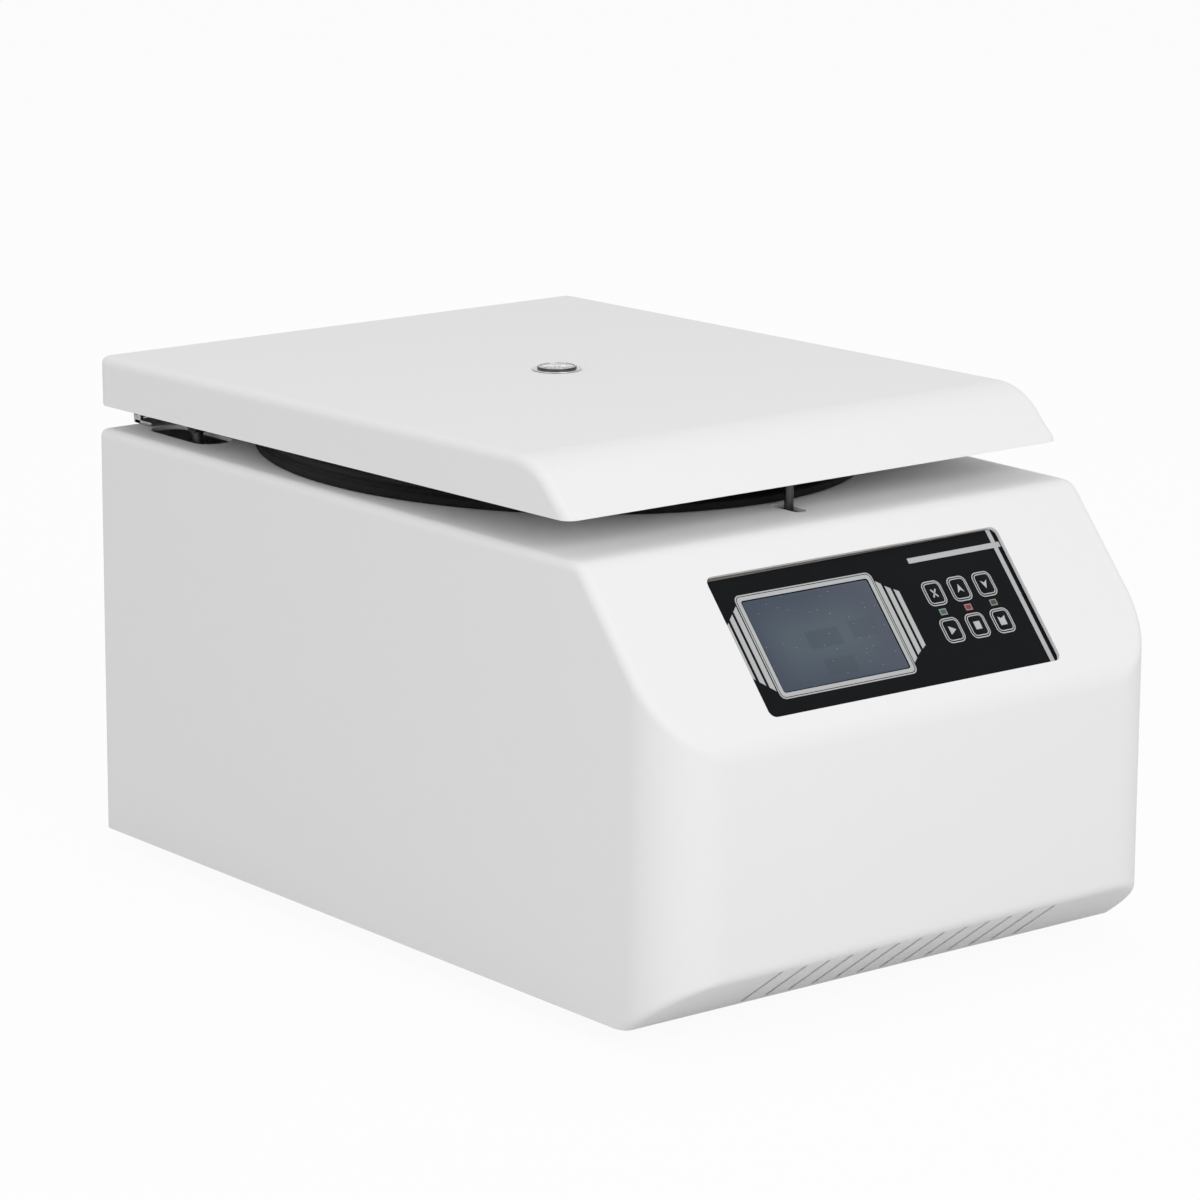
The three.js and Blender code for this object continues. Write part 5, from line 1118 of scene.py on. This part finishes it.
def buildFan():
    # Fan: a square frame with a hub on four spars, and a wheel of blades that twist and sweep as they reach out
    f = {"half": 46, "back": 594.9, "front": 569.9, "duct": 43, "hub": 17, "hubDepth": 4, "cup": 18, "cupDepth": 14,
         "play": 0.4, "pin": 3.4, "pinHole": 3.1, "axle": 3, "spar": (14, 45, -2.5, 2.5)}
    blade = {"count": 7, "from": 15, "to": 41, "pitch": 52, "twist": 24, "half": 5.6, "widening": 2.6,
             "thickness": 0.95, "camber": 0.9, "sweep": 0.35, "clip": 6.4}
    axis = at(rear["fan"][0], 0, rear["fan"][1], alongY)
    face = plate(boxAround(0, 0, f["half"], f["half"], 6), -f["back"], -f["front"],
                 [circle(0, 0, f["duct"], 96, True)], 0.8, 3, axis)
    low, high = -f["front"] - f["hubDepth"], -f["front"]
    deep = low + f["pinHole"]
    hub = lathe([(0, deep), (f["pin"], deep), (f["pin"], low), (f["hub"], low, 0.8), (f["hub"], high, 0.8),
                 (0, high)], 4, 64, axis)
    spars = [plate(boxOutline(*f["spar"], 0.8), low, high, (), 0.5, 2, axis @ turn(45 + 90 * i, "Z"))
             for i in range(4)]
    addPiece("fanFrame", joined(face, hub, *spars), "cabinet", "black_plastic", "fan_frame")
    front = f["front"] + f["hubDepth"] + f["play"]
    cup = lathe([(0, -front - f["cupDepth"]), (f["cup"], -front - f["cupDepth"], 2), (f["cup"], -front, 0.8),
                 (0, -front)], 5, 64, axis)
    # A section is a thin lens about an arc, both from 1 - chord squared, turned by its pitch and rolled onto a
    # circle of its radius
    chord = np.linspace(-1, 1, 9)
    round2 = 1 - chord ** 2
    upper, lower = (sign * blade["thickness"] * np.sqrt(np.maximum(round2, 0)) + blade["camber"] * round2
                    for sign in (1, -1))
    foil = np.stack([np.append(chord, chord[-2:0:-1]), np.append(upper, lower[-2:0:-1])], 1)
    sections = []
    for radius in np.linspace(blade["from"], blade["to"], 12):
        share = (radius - blade["from"]) / (blade["to"] - blade["from"])
        pitch = math.radians(blade["pitch"] - blade["twist"] * share)
        wide = foil[:, 0] * (blade["half"] + blade["widening"] * share)
        along = wide * math.cos(pitch) - foil[:, 1] * math.sin(pitch)
        deep = np.clip(wide * math.sin(pitch) + foil[:, 1] * math.cos(pitch), -blade["clip"], blade["clip"])
        bearing = along / radius + blade["sweep"] * share
        sections.append(np.stack([radius * np.cos(bearing), radius * np.sin(bearing),
                                  deep - front - f["cupDepth"] / 2], 1))
    blades = [lofted(sections, axis @ turn(360 * i / blade["count"], "Z")) for i in range(blade["count"])]
    wheel = joined(cup, bar(f["axle"], -front - 2, -front + 2.8, axis, 0.3, 24), *blades)
    addPiece("fanWheel", wheel, "fan_impeller", "black_plastic", "fan_impeller")


def buildInlet():
    # Mains inlet: a flange with two screws, a deep socket with three blades
    k = {"seat": 597.5, "face": 600.0, "bottom": 583.0, "back": 580.0, "tube": (14, 10.25), "blade": (1, 2),
         "bladeLength": 10.5, "blades": ((-7, -2), (7, -2), (0, 2)), "screws": (-20, 20), "overlap": 1, "sunk": 0.9,
         "socket": [(-12, -8.25, 1.5), (12, -8.25, 1.5), (12, 4.25, 1.2), (8, 8.25, 1.2), (-8, 8.25, 1.2),
                    (-12, 4.25, 1.2)],
         "rim": [(-25, -6, 3), (-17, -13.5, 3), (17, -13.5, 3), (25, -6, 3), (25, 6, 3), (17, 13.5, 3),
                 (-17, 13.5, 3), (-25, 6, 3)]}
    x, z = rear["inlet"]
    place = at(x, 0, z, alongY)
    socket, wall = filleted(k["socket"], 4)[::-1], boxAround(0, 0, *k["tube"], 1.5)
    bottom = -k["bottom"] + k["overlap"]
    inlet = joined(
        plate(filleted(k["rim"], 5), -k["face"], -k["seat"], [socket], 0.6, 3, place, backEdge=0.8),
        plate(wall, -k["face"] + k["sunk"], bottom, [socket], 0, 1, place),
        plate(wall, -k["bottom"], -k["back"], (), 0.3, 2, place),
        *[plate(boxAround(*middle, *k["blade"], 0.3, 3), -k["bottom"] - k["bladeLength"], bottom, (), 0.4, 3, place,
                1) for middle in k["blades"]],
        *[screwHead(2.7, 1.6, at(x + side, k["face"] - 0.4, z, rearward), 2) for side in k["screws"]])
    addPiece("mainsInlet", inlet, "cabinet", "black_plastic", "power_inlet", ["brass", "steel_sheet"])


def buildSwitch():
    # Mains switch: a framed box, and a rocker that rests tipped. Its crown falls by slope x share + hollow x sine of
    # half a turn x share, the share being the way out from the axis; a bar and a ring mark its two hollows
    k = {"seat": 597.5, "face": 599.5, "bottom": 585.5, "back": 584.5, "rim": (12.5, 15.5), "box": (10.5, 13.5),
         "window": (8.5, 11.5), "edge": 0.7, "sunk": 0.8, "overlap": 0.5}
    rocker = {"half": 10, "halfWidth": 8.1, "crown": 5, "slope": 1.8, "hollow": 0.5, "tilt": 8, "pin": 1.5,
              "pinReach": 1.2, "foot": [(-4, 8), (-4, -8)], "markY": 3.05, "markZ": 5.6, "markHeight": 0.9,
              "bar": (0.5, 1.9), "ring": (2.1, 1.4)}
    x, z = rear["switch"]
    place = at(x, 0, z, alongY)
    window = boxAround(0, 0, *k["window"], 0.8, 4)[::-1]
    box = boxAround(0, 0, *k["box"], 0.6)
    frameShape = joined(
        plate(boxAround(0, 0, *k["rim"], 1.6), -k["face"], -k["seat"], [window], k["edge"], 3, place),
        plate(box, -k["face"] + k["sunk"], -k["bottom"] + k["overlap"], [window], 0, 1, place),
        plate(box, -k["bottom"], -k["back"], (), 0, 1, place))
    addPiece("switchFrame", frameShape, "cabinet", "black_plastic", "switch_frame")
    h, w = rocker["half"], rocker["halfWidth"]
    across = np.linspace(-h, h, 25)
    share = np.abs(across) / h
    crown = rocker["crown"] - rocker["slope"] * share - rocker["hollow"] * np.sin(math.pi * share)
    outline = np.concatenate([np.stack([crown, across], 1), rocker["foot"]])
    seat = at(x, k["seat"], z, turn(rocker["tilt"], "X"))

    def mark(shape, holes, height):
        # A thin mark on the crown at a height
        place = seat @ at(0, rocker["markY"], height) @ rearward
        return plate(shape, 0, rocker["markHeight"], holes, 0.1, 1, place, 1)

    made = joined(
        plate(outline, -w, w, (), 0.5, 3, seat @ alongX),
        bar(rocker["pin"], -w - rocker["pinReach"], w + rocker["pinReach"], seat @ alongX, 0.2, 16),
        mark(boxAround(0, 0, *rocker["bar"], 0.2, 3), (), rocker["markZ"]),
        mark(circle(0, 0, rocker["ring"][0], 32), [circle(0, 0, rocker["ring"][1], 32, True)], -rocker["markZ"]))
    addPiece("switchRocker", made, "switch_rocker", "black_plastic", "switch_rocker", ["silver"])


def buildFeet():
    # Rubber feet about their nodes' middles: a cone on its wider end with a groove in its sole and a stem in the case
    foot = {"top": 16, "floor": 14, "height": 12, "seat": -0.3, "stem": 5, "groove": 10, "grooveDepth": 0.6}
    low, seat, middleOf = -foot["height"], foot["seat"], foot["groove"]
    groove = [(middleOf - 1, low), (middleOf, low + foot["grooveDepth"], 0.4), (middleOf + 1, low, 0.4)]
    for name in ("front_left", "front_right", "rear_left", "rear_right"):
        start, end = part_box("foot_" + name)
        top = 1000 * end.z - origin[2]
        middle = (start + end) * 500
        shape = lathe([
            (0, low), *groove, (foot["floor"], low, 1.4), (foot["top"], seat, 1.2), (foot["stem"], seat, 0.2),
            (foot["stem"], top, 0.6), (0, top)], 4, 48, at(middle.x, middle.y - origin[1], 0))
        addPiece("rubberFoot_" + name, shape, "cabinet", "black_rubber", "foot_" + name)


buildBack()
buildFan()
buildInlet()
buildSwitch()
buildFeet()
print("back wall, fan, electrics and feet ready")


# Solids that stay as they are take their finish by name
kept = {
    "steel_sheet": ["base_plate", "guard_ring", "motor_plate", "lock_bolt"],
    "zinc": ["lock_body", "strut_anchor_left", "strut_anchor_right"],
    "motor_paint": ["motor"],
    "black_rubber": ["damper_1", "damper_2", "damper_3"],
    "circuit_green": ["control_board", "power_board"],
}
for slot, names in kept.items():
    for name in names:
        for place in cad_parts[name].material_slots:
            place.material = finishes[slot].material


def shownWhite(nodeTree, dull, white, share, output):
    # Rays from the camera, in reflections and through glass see the share of white; all others see the dull side.
    # The largest of the three ray flags, one or none, times the share is the mix
    nodeTree.nodes.clear()
    tree = Tree(nodeTree)
    camera = tree.node("ShaderNodeLightPath", output="Is Camera Ray")
    seen = camera.maths("MAXIMUM", camera, camera.twin("Is Glossy Ray"))
    seen = camera.maths("MAXIMUM", seen, camera.twin("Is Transmission Ray"))
    mixed = tree.node("ShaderNodeMixShader", None, {0: seen * share, 1: tree.node(*dull), 2: tree.node(*white)})
    tree.node(output, None, {0: mixed})


def buildStage():
    # A white studio: an even world, and a matt floor that shows as nearly white
    stage = {"worldLight": 0.66, "floorTone": (0.78, 0.78, 0.78), "floorWhite": 0.94, "reach": 9.0}
    white = (1, 1, 1)
    world = bpy.data.worlds.new("studio")
    bpy.context.scene.world = world
    world.use_nodes = True
    light, shown = (("ShaderNodeBackground", None, {"Color": white, "Strength": strength})
                    for strength in (stage["worldLight"], 1.0))
    shownWhite(world.node_tree, light, shown, 1.0, "ShaderNodeOutputWorld")
    material = bpy.data.materials.new("paleFloor")
    material.use_nodes = True
    matt = "ShaderNodeBsdfDiffuse", None, {"Color": stage["floorTone"]}
    glow = "ShaderNodeEmission", None, {"Color": white, "Strength": 1.0}
    shownWhite(material.node_tree, matt, glow, stage["floorWhite"], "ShaderNodeOutputMaterial")
    mesh = bpy.data.meshes.new("floor")
    r = stage["reach"]
    mesh.from_pydata([(-r, -r, 0), (r, -r, 0), (r, r, 0), (-r, r, 0)], [], [(0, 1, 2, 3)])
    mesh.materials.append(material)
    placed("floor", mesh)


def addLamp(name, place, aim, size, power):
    # A rectangular lamp at a place, turned so that its own -z axis runs to its aim
    light = bpy.data.lights.new(name, "AREA")
    light.shape, light.size, light.size_y, light.energy = "RECTANGLE", *size, power
    lamp = placed(name, light)
    lamp.location = place
    lamp.rotation_euler = (Vector(aim) - Vector(place)).to_track_quat("-Z", "Y").to_euler()


def buildCamera():
    # A point at the distance from its target along the azimuth and elevation, turned by a small roll about its axis
    view = {"azimuth": -38.664, "elevation": 13.328, "distance": 3.28513, "target": (0.05288, 0.08241, 0.17299),
            "lens": 148.37, "sensor": 36, "roll": 0.0052}
    a, e = math.radians(view["azimuth"]), math.radians(view["elevation"])
    back = Vector((math.sin(a) * math.cos(e), -math.cos(a) * math.cos(e), math.sin(e)))
    data = bpy.data.cameras.new("camera")
    data.lens, data.sensor_width = view["lens"], view["sensor"]
    camera = placed("camera", data)
    camera.location = Vector(view["target"]) + back * view["distance"]
    aim = (-back).to_track_quat("-Z", "Y").to_matrix()
    camera.rotation_euler = (aim @ Matrix.Rotation(view["roll"], 3, "Z")).to_euler()
    bpy.context.scene.camera = camera


buildStage()
for lamp in (("frontLight", (-0.45, -2.6, 1.6), (0, 0.1, 0.2), (1.6, 1.2), 27),
             ("highLight", (0, 0.3, 3.0), (0, 0.3, 0.2), (2.2, 2.2), 14),
             ("leftLight", (-3.0, -0.4, 0.7), (0, 0.2, 0.15), (1.6, 1.0), 8)):
    addLamp(*lamp)
buildCamera()
bpy.context.scene.view_settings.view_transform = "Standard"

print("scene ready")
